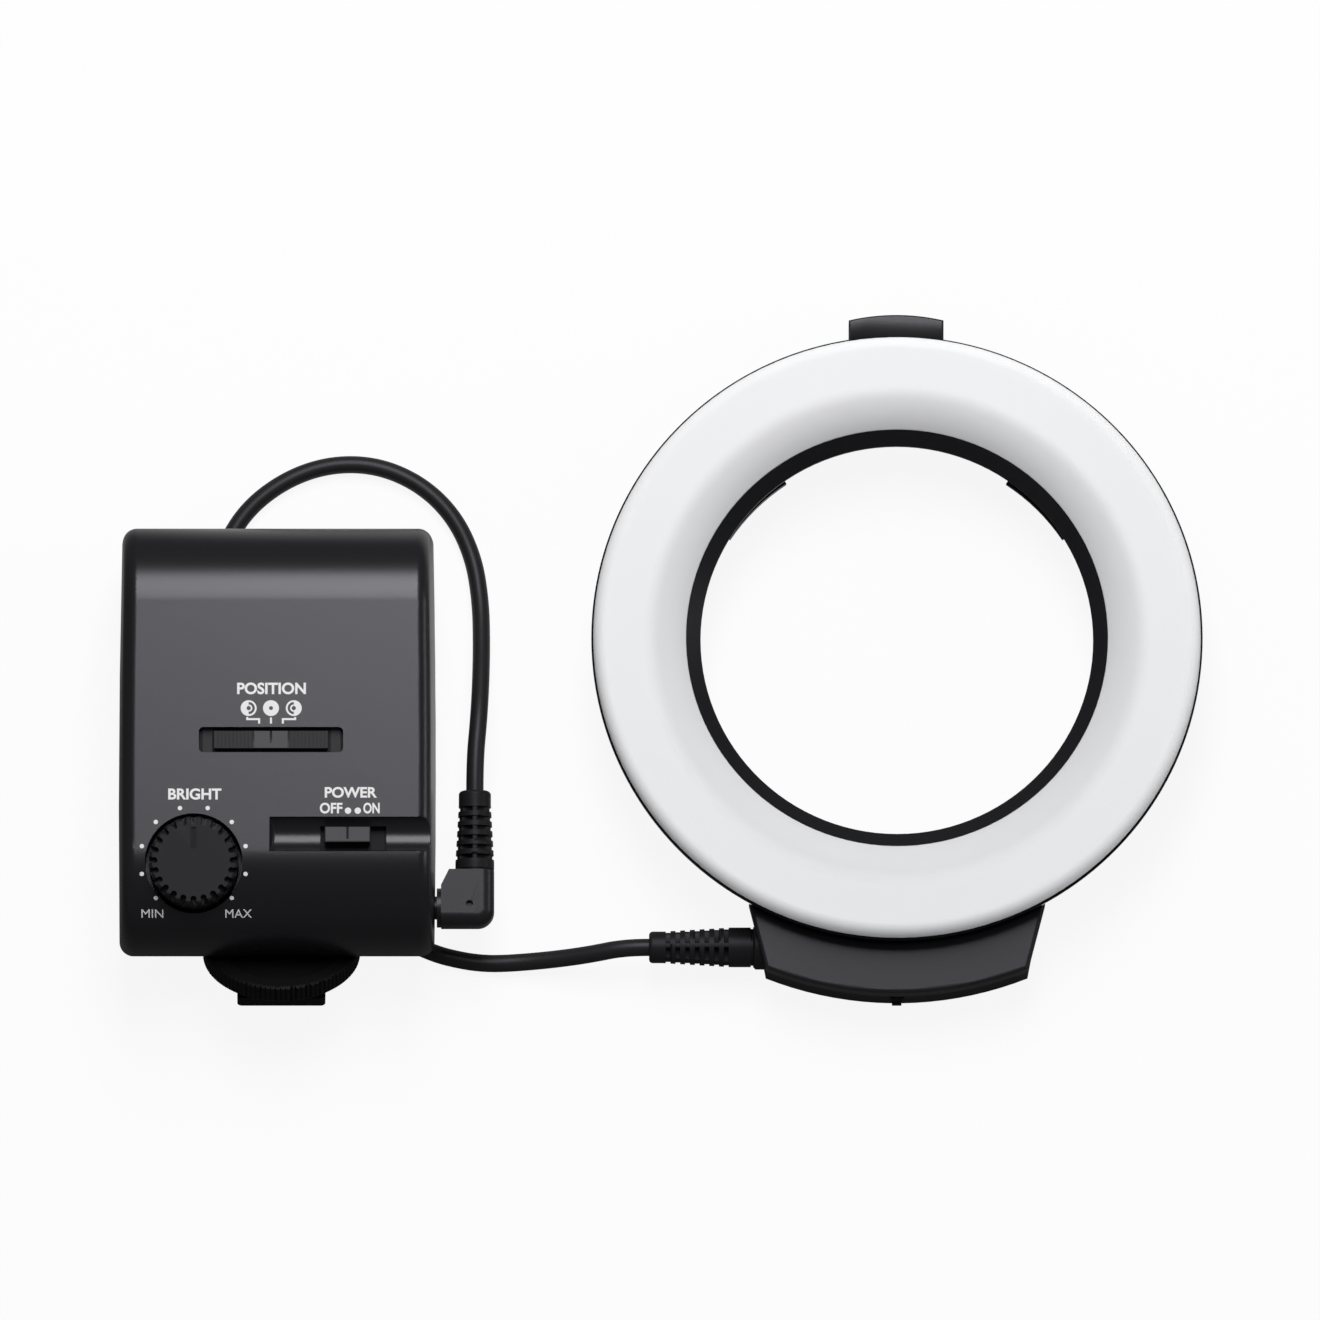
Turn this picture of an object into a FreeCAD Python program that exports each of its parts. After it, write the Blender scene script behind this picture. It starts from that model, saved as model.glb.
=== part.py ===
"""Macro ring light: a ring head that fits round a lens, a battery controller for the camera's
accessory shoe, and the cord that joins them. Millimetres, +Z up, both units lying on their backs.
The origin is on the ring's axis, in the plane of the ring's rear face."""

import FreeCAD
import Part
import Sketcher
import math
import os

# Driving sizes, in millimetres and degrees. Each goes into one cell of the sheet.
DRIVING = {
    # ring head, radii from the ring's axis and heights from its rear face
    "diffuser_radius": 64.2,
    "rim_lip": 0.4,
    "ring_depth": 25.0,
    "rim_height": 20.0,
    "crown_round": 2.7,
    "crown_inner": 53.2,
    "diffuser_wall": 1.6,
    "skirt_depth": 1.4,
    "inner_edge": 44.5,
    "slope_drop": 3.5,
    "seat_rise": 0.4,
    "bezel_mouth": 41.5,
    "bezel_drop": 3.2,
    "bezel_nose": 0.9,
    "bore_radius": 45.4,
    "bore_step": 1.0,
    "barrel_wall": 1.2,
    "shell_floor": 2.2,
    "shell_wall": 1.6,
    "back_taper": 4.0,
    "back_round": 2.6,
    "seat_gap": 0.1,
    "claw_reach": 42.2,
    "claw_floor": 6.0,
    "claw_thick": 2.2,
    "claw_angle": 45.0,
    "claw_half_angle": 11.5,
    "ear_circle": 50.3,
    "ear_half": 3.0,
    "ear_thick": 3.2,
    "boss_circle": 55.8,
    "boss_radius": 2.2,
    "led_board_height": 10.0,
    "led_board_inner": 47.2,
    "led_board_outer": 58.0,
    "board_thick": 1.6,
    "led_circle": 53.0,
    "led_long": 3.5,
    "led_wide": 2.8,
    "led_thick": 0.8,
    "led_window_gap": 0.5,
    "reflector_sheet": 0.8,
    "reflector_rise": 7.0,
    "reflector_flare": 2.8,
    # release button and its latch
    "latch_floor": 6.3,
    "latch_thick": 1.5,
    "latch_inner": 49.3,
    "latch_band": 2.3,
    "latch_hook_half": 11.5,
    "latch_reach": 43.6,
    "latch_arm_half": 6.0,
    "latch_window_gap": 0.4,
    "button_half": 10.05,
    "button_floor": 3.6,
    "button_thick": 7.8,
    "button_inset": 3.6,
    "button_proud": 6.35,
    "button_arch": 44.0,
    "button_edge": 0.5,
    "button_gap": 0.35,
    "button_travel": 1.9,
    "spring_half": 8.0,
    "spring_rise": 2.9,
    "spring_sheet": 0.4,
    # base block under the ring
    "base_deep": 10.4,
    "base_shoulder": 31.3,
    "base_foot": 27.7,
    "base_face": 15.5,
    "base_split": 10.0,
    "base_wall": 1.8,
    "base_lap": 0.6,
    "base_edge": 0.8,
    "nub_half": 1.0,
    "nub_reach": 0.5,
    "nub_high": 2.4,
    "base_screw_x": 17.0,
    "base_screw_gap": 2.1,
    "terminal_long": 20.0,
    "terminal_deep": 4.0,
    "gate_half": 2.5,
    "ribbon_half": 2.0,
    "ribbon_thick": 0.5,
    # screws
    "screw_head": 1.9,
    "screw_head_thick": 1.1,
    "screw_shank": 0.9,
    "board_screw_radius": 1.5,
    "board_screw_head": 0.8,
    "screw_sink": 0.3,
    "screw_gap": 0.15,
    "thread_bite": 0.05,
    "drive_half": 1.3,
    "drive_wide": 0.5,
    "drive_deep": 0.5,
    # cord and its strain reliefs
    "cord_radius": 1.85,
    "relief_inset": 10.8,
    "relief_height": 8.0,
    "collar_radius": 4.7,
    "collar_front": -30.4,
    "collar_long": 2.5,
    "seat_reach": 6.0,
    "head_relief_radius": 4.2,
    "head_relief_tip": 3.35,
    "head_relief_plain": 4.65,
    "plug_relief_radius": 4.1,
    "plug_relief_tip": 3.4,
    "plug_relief_plain": 1.9,
    "rib_pitch": 2.05,
    "rib_groove": 1.0,
    "rib_depth": 0.35,
    "rib_core": 2.0,
    "rib_spine": 1.2,
    "relief_end": 3.0,
    "relief_end_round": 0.8,
    # controller case
    "case_x": -130.9,
    "case_top": 23.0,
    "case_bottom": -67.9,
    "panel_height": 40.0,
    "part_height": 20.0,
    "back_height": 4.0,
    "top_round": 18.0,
    "back_corner": 4.0,
    "waist_half": 33.2,
    "panel_half": 32.2,
    "back_half": 31.9,
    "case_narrow": 0.35,
    "side_radius": 2400.0,
    "case_edge": 3.0,
    "case_wall": 2.0,
    "cavity_half": 29.8,
    "post_radius": 2.6,
    "post_x": 24.0,
    "top_post_y": 18.6,
    "low_post_y": -34.5,
    # circuit board and the parts on it
    "board_height": 24.0,
    "board_half": 28.5,
    "board_top": 15.5,
    "board_bottom": -58.0,
    "coil_radius": 4.5,
    "coil_tall": 5.5,
    "coil_flange": 0.9,
    "capacitor_radius": 3.15,
    "capacitor_tall": 7.0,
    "capacitor_pitch": 9.0,
    "coil_x": -12.0,
    "coil_y": 3.0,
    "capacitor_x": 3.0,
    "capacitor_y": 4.0,
    "chip_long": 6.0,
    "chip_x": -22.0,
    "chip_y": -12.0,
    "chip_thick": 1.5,
    # brightness dial
    "dial_inset": 15.9,
    "dial_y": -50.7,
    "dial_radius": 9.4,
    "dial_well": 10.3,
    "dial_proud": 2.2,
    "dial_floor": 30.5,
    "dial_gap": 0.7,
    "dial_edge": 0.7,
    "flute_half": 0.62,
    "flute_inner": 7.4,
    "flute_deep": 1.9,
    "index_outer": 7.0,
    "index_wide": 1.1,
    "index_long": 4.5,
    "index_deep": 0.35,
    "well_wall": 1.6,
    "shaft_radius": 3.0,
    "shaft_flat": 0.8,
    "shaft_fit": 0.03,
    "pot_half": 5.5,
    "pot_thick": 2.7,
    "pot_floor": 1.2,
    # position switch
    "position_x": -1.1,
    "position_y": -24.7,
    "position_slot_long": 30.4,
    "position_slot_wide": 5.4,
    "slot_corner": 1.0,
    "position_knob_long": 23.9,
    "position_knob_wide": 3.65,
    "knob_proud": 0.2,
    "knob_foot_gap": 0.3,
    "slot_plate_thick": 0.8,
    "slot_plate_rim": 1.6,
    "switch_travel": 2.3,
    "lever_long": 3.0,
    "lever_wide": 1.6,
    "lever_gap": 0.35,
    "switch_long": 14.0,
    "switch_wide": 6.0,
    "switch_thick": 4.2,
    "lever_depth": 2.0,
    "lever_rise": 2.2,
    "knob_rib_pitch": 0.8,
    "knob_rib": 0.35,
    "knob_rib_deep": 0.4,
    "knob_centre_long": 7.0,
    "knob_line": 0.5,
    "knob_line_long": 2.6,
    "knob_line_deep": 0.25,
    # power switch
    "power_y": -44.8,
    "power_knob_long": 9.5,
    "power_knob_wide": 3.2,
    "power_knob_sunk": 0.3,
    "power_rest_gap": 1.0,
    "power_window_low": 1.5,
    "power_plate_rim": 0.6,
    "channel_wide": 7.4,
    "channel_deep": 2.2,
    "channel_run": 10.7,
    "channel_slope": 1.2,
    "power_window_inset": 10.0,
    "power_window_long": 13.9,
    # lock wheel and shoe foot, along the foot's own axis
    "foot_tilt": 45.0,
    "foot_x": 0.85,
    "wheel_radius": 16.6,
    "wheel_thick": 4.0,
    "wheel_gap": 0.9,
    "wheel_knurl": 0.45,
    "wheel_dish": 0.6,
    "stem_radius": 4.5,
    "stem_flange": 5.8,
    "stem_flange_thick": 1.4,
    "thread_gap": 0.08,
    "shoe_gap": 4.2,
    "shoe_half": 9.3,
    "shoe_thick": 2.0,
    "shoe_corner": 1.0,
    "clamp_half": 8.4,
    "clamp_thick": 0.8,
    "clamp_gap": 0.05,
    # plug and jack
    "jack_y": -57.2,
    "jack_height": 17.5,
    "jack_radius": 3.6,
    "jack_barrel": 2.8,
    "jack_long": 11.0,
    "jack_sunk": 0.4,
    "neck_radius": 4.15,
    "neck_gap": 0.5,
    "neck_long": 0.9,
    "pin_radius": 1.25,
    "pin_long": 9.0,
    "plug_wide": 11.2,
    "plug_top": -49.5,
    "plug_bottom": -61.4,
    "plug_half_thick": 4.5,
    "plug_corner": 1.7,
    "plug_corner_rise": 3.4,
    "plug_sweep": 3.5,
    "plug_round": 2.6,
    "plug_hole": 0.75,
    "plug_hole_x": 6.0,
    "cord_x": -89.2,
    # batteries
    "cell_radius": 7.2,
    "cell_long": 49.2,
    "cell_pole": 2.75,
    "cell_pole_long": 1.3,
    "cell_pitch": 15.2,
    "cell_gap": 0.15,
    "cell_edge": 0.6,
    "bay_y": -1.0,
    "contact_sheet": 0.4,
    "contact_half": 5.0,
    "leaf_half": 1.5,
    "leaf_wide": 1.3,
    "door_thick": 1.7,
    "door_long": 60.5,
    "door_half": 15.6,
    "door_tongue": 1.2,
    "door_gap": 0.3,
    "grip_pitch": 2.0,
}

LED_COUNT = 16
WHEEL_TEETH = 96
DIAL_NOTCHES = 24
FLUTE_ROUND = 1.06
HEAD_RIBS = 7
PLUG_RIBS = 6
KNOB_RIBS = 10
HALF_ROOT = math.sqrt(0.5)
OVERCUT = 6

document = FreeCAD.newDocument("MacroRingLight")
sheet = document.addObject("Spreadsheet::Sheet", "Sizes")


class Size:
    """A length: its value now, and the formula over the sheet that gives it."""

    def __init__(self, value, formula):
        self.value = value
        self.formula = formula

    def join(self, sign, other, value):
        return Size(value, "(" + self.formula + " " + sign + " " + other.formula + ")")

    def __add__(self, other):
        other = size(other)
        return self.join("+", other, self.value + other.value)

    def __sub__(self, other):
        other = size(other)
        return self.join("-", other, self.value - other.value)

    def __mul__(self, other):
        other = size(other)
        return self.join("*", other, self.value * other.value)

    def __truediv__(self, other):
        other = size(other)
        return self.join("/", other, self.value / other.value)

    def __neg__(self):
        return Size(-self.value, "(0 - " + self.formula + ")")

    def __radd__(self, other):
        return size(other) + self

    def __rsub__(self, other):
        return size(other) - self

    def __rmul__(self, other):
        return size(other) * self


def size(value):
    """A Size from a Size or a plain number."""
    if isinstance(value, Size):
        return value
    return Size(float(value), "(%.9f)" % value)


def root(value):
    """Square root of a Size."""
    return Size(math.sqrt(value.value), "sqrt(" + value.formula + ")")


class Given:
    """The driving sizes, each an attribute."""


mm = Given()
for row, (word, number) in enumerate(DRIVING.items(), start=1):
    sheet.set("A%d" % row, word)
    sheet.set("B%d" % row, str(number))
    sheet.setAlias("B%d" % row, word)
    setattr(mm, word, Size(number, "Sizes." + word))
document.recompute()


class Arc:
    """A round stretch of an outline, to (x, y), bulging to the left or right of its travel."""

    def __init__(self, x, y, radius, bulge):
        self.x = size(x)
        self.y = size(y)
        self.radius = size(radius)
        self.side = 1.0 if bulge == "left" else -1.0


class Circle:
    """A full circle in a sketch."""

    def __init__(self, x, y, radius):
        self.x = size(x)
        self.y = size(y)
        self.radius = size(radius)


def spot(radius, degrees):
    """The point at a radius and an angle from +X."""
    return (radius * math.cos(math.radians(degrees)), radius * math.sin(math.radians(degrees)))


def rectangle(x_low, y_low, x_high, y_high):
    return [(x_low, y_low), (x_high, y_low), (x_high, y_high), (x_low, y_high)]


def rounded(x_low, y_low, x_high, y_high, corner):
    """A rectangle with quarter-round corners."""
    x_low, y_low, x_high, y_high = size(x_low), size(y_low), size(x_high), size(y_high)
    return [
        (x_low + corner, y_low),
        (x_high - corner, y_low),
        Arc(x_high, y_low + corner, corner, "right"),
        (x_high, y_high - corner),
        Arc(x_high - corner, y_high, corner, "right"),
        (x_low + corner, y_high),
        Arc(x_low, y_high - corner, corner, "right"),
        (x_low, y_low + corner),
        Arc(x_low + corner, y_low, corner, "right"),
    ]


def bind(sketch, constraint, formula):
    """Adds a constraint and binds its value to a formula."""
    number = sketch.addConstraint(constraint)
    sketch.setExpression("Constraints[%d]" % number, formula)


def draw_circle(sketch, circle):
    centre = FreeCAD.Vector(circle.x.value, circle.y.value, 0)
    edge = sketch.addGeometry(Part.Circle(centre, FreeCAD.Vector(0, 0, 1), circle.radius.value))
    bind(sketch, Sketcher.Constraint("DistanceX", edge, 3, circle.x.value), circle.x.formula)
    bind(sketch, Sketcher.Constraint("DistanceY", edge, 3, circle.y.value), circle.y.formula)
    bind(sketch, Sketcher.Constraint("Radius", edge, circle.radius.value), circle.radius.formula)


def shorter_arc(start, end, radius, side):
    """The shorter arc between two points, counter-clockwise as a sketch stores it."""
    chord = end - start
    half = chord.Length / 2
    rise = math.sqrt(max(radius * radius - half * half, 0))
    normal = FreeCAD.Vector(-chord.y, chord.x, 0).normalize()
    centre = (start + end) / 2 - normal * (rise * side)
    low, high = (end, start) if side > 0 else (start, end)
    first = math.atan2(low.y - centre.y, low.x - centre.x)
    last = math.atan2(high.y - centre.y, high.x - centre.x)
    if last < first:
        last += 2 * math.pi
    return Part.ArcOfCircle(Part.Circle(centre, FreeCAD.Vector(0, 0, 1), radius), first, last)


def draw_outline(sketch, outline):
    """Draws a closed outline of lines and arcs, every corner and radius bound to the sheet."""
    corners = [(size(p.x), size(p.y)) if isinstance(p, Arc) else (size(p[0]), size(p[1])) for p in outline]
    at = [FreeCAD.Vector(x.value, y.value, 0) for x, y in corners]
    steps = list(range(1, len(outline)))
    if (at[0] - at[-1]).Length < 1e-7:
        corners[-1] = corners[0]
    else:
        steps.append(0)
    edges = []
    for step in steps:
        start, end = at[step - 1], at[step]
        item = outline[step]
        if isinstance(item, Arc):
            edge = sketch.addGeometry(shorter_arc(start, end, item.radius.value, item.side))
            first, last = (2, 1) if item.side > 0 else (1, 2)
        else:
            edge = sketch.addGeometry(Part.LineSegment(start, end))
            first, last = 1, 2
        edges.append((edge, first, last, corners[step - 1], item))
    for place, (edge, first, last, corner, item) in enumerate(edges):
        following = edges[(place + 1) % len(edges)]
        sketch.addConstraint(Sketcher.Constraint("Coincident", edge, last, following[0], following[1]))
        x, y = corner
        bind(sketch, Sketcher.Constraint("DistanceX", edge, first, x.value), x.formula)
        bind(sketch, Sketcher.Constraint("DistanceY", edge, first, y.value), y.formula)
        if isinstance(item, Arc):
            bind(sketch, Sketcher.Constraint("Radius", edge, item.radius.value), item.radius.formula)


class Piece:
    """One physical piece: a body whose sketches and features read the sheet."""

    def __init__(self, name, x=0, y=0, z=0, axis=None, angle=0):
        self.body = document.addObject("PartDesign::Body", name)
        self.body.Label = name
        place = [size(x), size(y), size(z)]
        base = FreeCAD.Vector(*[value.value for value in place])
        turn = FreeCAD.Rotation(FreeCAD.Vector(*axis), size(angle).value) if axis else FreeCAD.Rotation()
        self.body.Placement = FreeCAD.Placement(base, turn)
        for letter, value in zip("xyz", place):
            self.body.setExpression("Placement.Base." + letter, value.formula)
        if isinstance(angle, Size):
            self.body.setExpression("Placement.Rotation.Angle", angle.formula)

    def origin(self, role):
        return next(item for item in self.body.Origin.OriginFeatures if item.Role == role)

    def sketch(self, plane, height, shapes):
        """A sketch on an origin plane, moved along the plane's world axis to a height."""
        sketch = self.body.newObject("Sketcher::SketchObject", self.body.Name + "_sketch")
        sketch.AttachmentSupport = [(self.origin(plane + "_Plane"), "")]
        sketch.MapMode = "FlatFace"
        height = -size(height) if plane == "XZ" else size(height)
        sketch.AttachmentOffset = FreeCAD.Placement(FreeCAD.Vector(0, 0, height.value), FreeCAD.Rotation())
        sketch.setExpression("AttachmentOffset.Base.z", height.formula)
        for shape in shapes:
            if isinstance(shape, Circle):
                draw_circle(sketch, shape)
            else:
                draw_outline(sketch, shape)
        return sketch

    def feature(self, kind, profile):
        feature = self.body.newObject("PartDesign::" + kind, self.body.Name + "_" + kind.lower())
        feature.Profile = profile
        profile.Visibility = False
        return feature

    def pad(self, plane, low, high, *shapes):
        """Material from low to high along the plane's world axis."""
        pad = self.feature("Pad", self.sketch(plane, low, shapes))
        length = size(high) - size(low)
        pad.Length = length.value
        pad.setExpression("Length", length.formula)
        pad.Reversed = plane == "XZ"
        return pad

    def cut(self, plane, low, high, *shapes):
        """Removes what lies between low and high along the plane's world axis."""
        pocket = self.feature("Pocket", self.sketch(plane, low, shapes))
        length = size(high) - size(low)
        pocket.Length = length.value
        pocket.setExpression("Length", length.formula)
        pocket.Reversed = plane != "XZ"
        return pocket

    def turn(self, plane, axis, *shapes):
        """A full turn of a profile about an origin axis."""
        turned = self.feature("Revolution", self.sketch(plane, 0, shapes))
        turned.ReferenceAxis = (self.origin(axis + "_Axis"), [""])
        turned.Angle = 360
        return turned

    def groove(self, plane, axis, *shapes):
        """A full turn of a profile, taken away."""
        groove = self.feature("Groove", self.sketch(plane, 0, shapes))
        groove.ReferenceAxis = (self.origin(axis + "_Axis"), [""])
        groove.Angle = 360
        return groove

    def tilted_hole(self, x, y, z, tilt, radius):
        """A hole whose axis lies in a plane across X, tilted back from Z, cut both ways from (x, y, z)."""
        sketch = self.sketch("XY", 0, [Circle(x, 0, radius)])
        sketch.AttachmentOffset = FreeCAD.Placement(
            FreeCAD.Vector(0, y.value, z.value), FreeCAD.Rotation(FreeCAD.Vector(-1, 0, 0), tilt.value))
        sketch.setExpression("AttachmentOffset.Base.y", y.formula)
        sketch.setExpression("AttachmentOffset.Base.z", z.formula)
        sketch.setExpression("AttachmentOffset.Rotation.Angle", tilt.formula)
        pocket = self.feature("Pocket", sketch)
        pocket.Length = 4 * radius.value
        pocket.setExpression("Length", (4 * radius).formula)
        pocket.Midplane = True
        return pocket

    def loft(self, low, low_shape, high, high_shape):
        """A ruled loft between two outlines at two heights."""
        loft = self.feature("AdditiveLoft", self.sketch("XY", low, [low_shape]))
        loft.Sections = [self.sketch("XY", high, [high_shape])]
        loft.Ruled = True
        return loft

    def polar(self, features, count, axis="Z"):
        pattern = self.body.newObject("PartDesign::PolarPattern", self.body.Name + "_ring")
        pattern.Originals = features
        pattern.Axis = (self.origin(axis + "_Axis"), [""])
        pattern.Angle = 360
        pattern.Occurrences = count
        self.body.Tip = pattern
        return pattern

    def row(self, features, axis, length, count):
        pattern = self.body.newObject("PartDesign::LinearPattern", self.body.Name + "_row")
        pattern.Originals = features
        pattern.Direction = (self.origin(axis + "_Axis"), [""])
        pattern.Length = size(length).value
        pattern.setExpression("Length", size(length).formula)
        pattern.Occurrences = count
        self.body.Tip = pattern
        return pattern

    def edges(self, test):
        """Names of the edges whose middle point, in the body's own frame, passes a test."""
        document.recompute()
        names = []
        for number, edge in enumerate(self.body.Tip.Shape.Edges, start=1):
            middle = edge.valueAt((edge.FirstParameter + edge.LastParameter) / 2)
            if test(middle, edge):
                names.append("Edge%d" % number)
        return names

    def dress(self, kind, edges, amount):
        tip = self.body.Tip
        dressed = self.body.newObject("PartDesign::" + kind, self.body.Name + "_" + kind.lower())
        dressed.Base = (tip, edges)
        word = "Radius" if kind == "Fillet" else "Size"
        setattr(dressed, word, size(amount).value)
        dressed.setExpression(word, size(amount).formula)
        return dressed


# Sizes that several pieces share.
ring_radius = mm.diffuser_radius + mm.rim_lip
back_radius = ring_radius - mm.back_taper
base_inner = ring_radius - mm.base_lap
base_reach = ring_radius + mm.base_deep
button_back = ring_radius - mm.button_inset
button_reach = ring_radius + mm.button_proud
barrel_outer = mm.bore_radius + mm.barrel_wall
edge_height = mm.ring_depth - mm.slope_drop
seat_height = edge_height - mm.diffuser_wall + mm.seat_rise
slope_run = mm.crown_inner - mm.inner_edge
slope_radius = (slope_run * slope_run + mm.slope_drop * mm.slope_drop) / (2 * mm.slope_drop)
crown_outer = mm.diffuser_radius - mm.crown_round
wall_inner = ring_radius - mm.shell_wall
led_board_face = mm.led_board_height + mm.board_thick
wall_lean = mm.back_taper / (mm.rim_height - mm.shell_floor)
relief_y = mm.relief_inset - base_reach
screw_hole = mm.screw_shank + mm.screw_gap
screw_recess = mm.screw_head + mm.screw_gap
screw_thread = mm.screw_shank + mm.thread_bite


def ring_rear_shell():
    """Black moulded shell of the ring, with the tray of the base block."""
    piece = Piece("ring_rear_shell")
    hub = barrel_outer + mm.seat_gap
    piece.turn("XZ", "Z", [
        (hub, 0),
        (back_radius - mm.back_round, 0),
        Arc(back_radius, mm.back_round, mm.back_round, "right"),
        (ring_radius, mm.rim_height),
        (wall_inner, mm.rim_height),
        (back_radius - mm.shell_wall, mm.shell_floor),
        (hub, mm.shell_floor),
    ])
    tray = back_radius - 0.6
    piece.pad("XY", 0, mm.base_split, base_outline(tray, base_reach, 0))
    piece.pad("XY", 0, mm.nub_high, rectangle(
        -mm.nub_half, -(base_reach + mm.nub_reach), mm.nub_half, -(base_reach - 1)))
    piece.cut("XY", mm.shell_floor, mm.base_split + 1,
              base_outline(base_inner + mm.base_wall, base_reach - mm.base_wall, mm.base_wall))
    # wire gate between the ring and the base
    piece.cut("XZ", -(base_inner + mm.base_wall + 1), -(back_radius - mm.shell_wall - 2),
              rectangle(-mm.gate_half, mm.shell_floor + 2, mm.gate_half, mm.shell_floor + 6))
    # seat of the cord's collar
    piece.cut("YZ", mm.collar_front - mm.seat_reach, mm.collar_front + mm.collar_long + mm.seat_gap,
              Circle(relief_y, mm.relief_height, mm.collar_radius + mm.seat_gap))
    # gate of the release button
    piece.cut("XZ", button_back - 3.2, ring_radius + 2,
              rectangle(-(mm.button_half + mm.button_gap), mm.button_floor - mm.button_gap,
                        mm.button_half + mm.button_gap, mm.button_floor + mm.button_thick + mm.button_gap))
    # rib that backs the release spring
    spring_back = button_back - mm.button_travel - mm.spring_rise - mm.seat_gap
    piece.pad("XY", mm.shell_floor, mm.latch_floor - 0.5,
              rectangle(-mm.spring_half, spring_back - 1.6, mm.spring_half, spring_back))
    # bosses under the light board, with their screw holes
    piece.pad("XY", mm.shell_floor, mm.led_board_height, *[
        Circle(*spot(mm.boss_circle, 45 + 90 * turn), mm.boss_radius) for turn in range(4)])
    piece.cut("XY", mm.shell_floor + 2, mm.led_board_height, *[
        Circle(*spot(mm.boss_circle, 45 + 90 * turn), screw_thread) for turn in range(4)])
    # rear screw holes: four into the bezel's ears, two into the base cover
    for places in (ear_places(), base_screw_places()):
        piece.cut("XY", 0, mm.screw_sink + mm.screw_head_thick,
                  *[Circle(x, y, screw_recess) for x, y in places])
        piece.cut("XY", 0, mm.shell_floor, *[Circle(x, y, screw_hole) for x, y in places])
    return piece


def base_outline(inner, outer, inset):
    """Block between two arcs about the ring's axis, its sides drawn in towards its foot."""
    inner = size(inner)
    outer = size(outer)
    shoulder = mm.base_shoulder - inset
    foot = mm.base_foot - inset
    shoulder_y = -root(inner * inner - shoulder * shoulder)
    foot_y = -root(outer * outer - foot * foot)
    return [
        (-shoulder, shoulder_y),
        (-foot, foot_y),
        Arc(foot, foot_y, outer, "right"),
        (shoulder, shoulder_y),
        Arc(-shoulder, shoulder_y, inner, "left"),
    ]


def drive(x, y):
    """Straight slot in a screw's head."""
    half = mm.drive_wide / 2
    return rectangle(x - mm.drive_half, y - half, x + mm.drive_half, y + half)


def ear_places():
    return [spot(mm.ear_circle, 90 * turn) for turn in range(4)]


def base_screw_places():
    middle = mm.base_screw_gap - (base_inner + base_reach) / 2
    return [(-mm.base_screw_x, middle), (mm.base_screw_x, middle)]


def inner_bezel():
    """Black ring round the lens opening: coned lip, barrel and two fixed claws."""
    piece = Piece("inner_bezel")
    lip = edge_height - mm.bezel_drop
    throat = mm.bore_radius - mm.bore_step
    step = mm.claw_floor - 0.1
    piece.turn("XZ", "Z", [
        (mm.bore_radius, 0),
        (barrel_outer, 0),
        (barrel_outer, seat_height),
        (mm.inner_edge, seat_height),
        (mm.inner_edge, edge_height),
        (mm.bezel_mouth, lip),
        (mm.bezel_mouth, lip - mm.bezel_nose),
        (throat, lip - mm.bezel_nose - mm.bore_step),
        (throat, step),
        (mm.bore_radius, step),
    ])
    claw_outer = throat + 0.3
    for middle in (mm.claw_angle.value, 180 - mm.claw_angle.value):
        low = middle - mm.claw_half_angle.value
        high = middle + mm.claw_half_angle.value
        piece.pad("XY", mm.claw_floor, mm.claw_floor + mm.claw_thick, [
            spot(mm.claw_reach, low),
            spot(claw_outer, low),
            Arc(*spot(claw_outer, high), claw_outer, "right"),
            spot(mm.claw_reach, high),
            Arc(*spot(mm.claw_reach, low), mm.claw_reach, "left"),
        ])
    ear = piece.pad("XY", mm.shell_floor, mm.shell_floor + mm.ear_thick,
                    rectangle(barrel_outer - 0.3, -mm.ear_half, mm.ear_circle + mm.ear_half, mm.ear_half))
    piece.polar([ear], 4)
    piece.cut("XY", mm.shell_floor, mm.shell_floor + mm.ear_thick,
              *[Circle(x, y, screw_thread) for x, y in ear_places()])
    gap = mm.latch_window_gap
    piece.cut("XZ", -(barrel_outer + 1), -(mm.bore_radius - 4),
              rectangle(-(mm.latch_hook_half + gap), mm.latch_floor - gap,
                        mm.latch_hook_half + gap, mm.latch_floor + mm.latch_thick + gap))
    return piece


def diffuser():
    """Milky front ring: flat crown, convex inner slope, rounded rim and a skirt inside the shell."""
    piece = Piece("diffuser")
    inside_crown = mm.ring_depth - mm.diffuser_wall
    skirt = wall_inner - mm.seat_gap - mm.skirt_depth * wall_lean
    piece.turn("XZ", "Z", [
        (mm.inner_edge + mm.seat_gap, edge_height),
        (mm.inner_edge + mm.seat_gap, seat_height + 0.02),
        (barrel_outer + 1.2, seat_height + 0.02),
        (mm.crown_inner, inside_crown),
        (crown_outer - 0.8, inside_crown),
        (skirt - mm.diffuser_wall, mm.rim_height + 1.2),
        (skirt - mm.diffuser_wall, mm.rim_height - mm.skirt_depth),
        (skirt, mm.rim_height - mm.skirt_depth),
        (skirt, mm.rim_height),
        (mm.diffuser_radius, mm.rim_height),
        (mm.diffuser_radius, mm.ring_depth - mm.crown_round),
        Arc(crown_outer, mm.ring_depth, mm.crown_round, "right"),
        (mm.crown_inner, mm.ring_depth),
        Arc(mm.inner_edge + mm.seat_gap, edge_height, slope_radius, "right"),
    ])
    return piece


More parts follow.
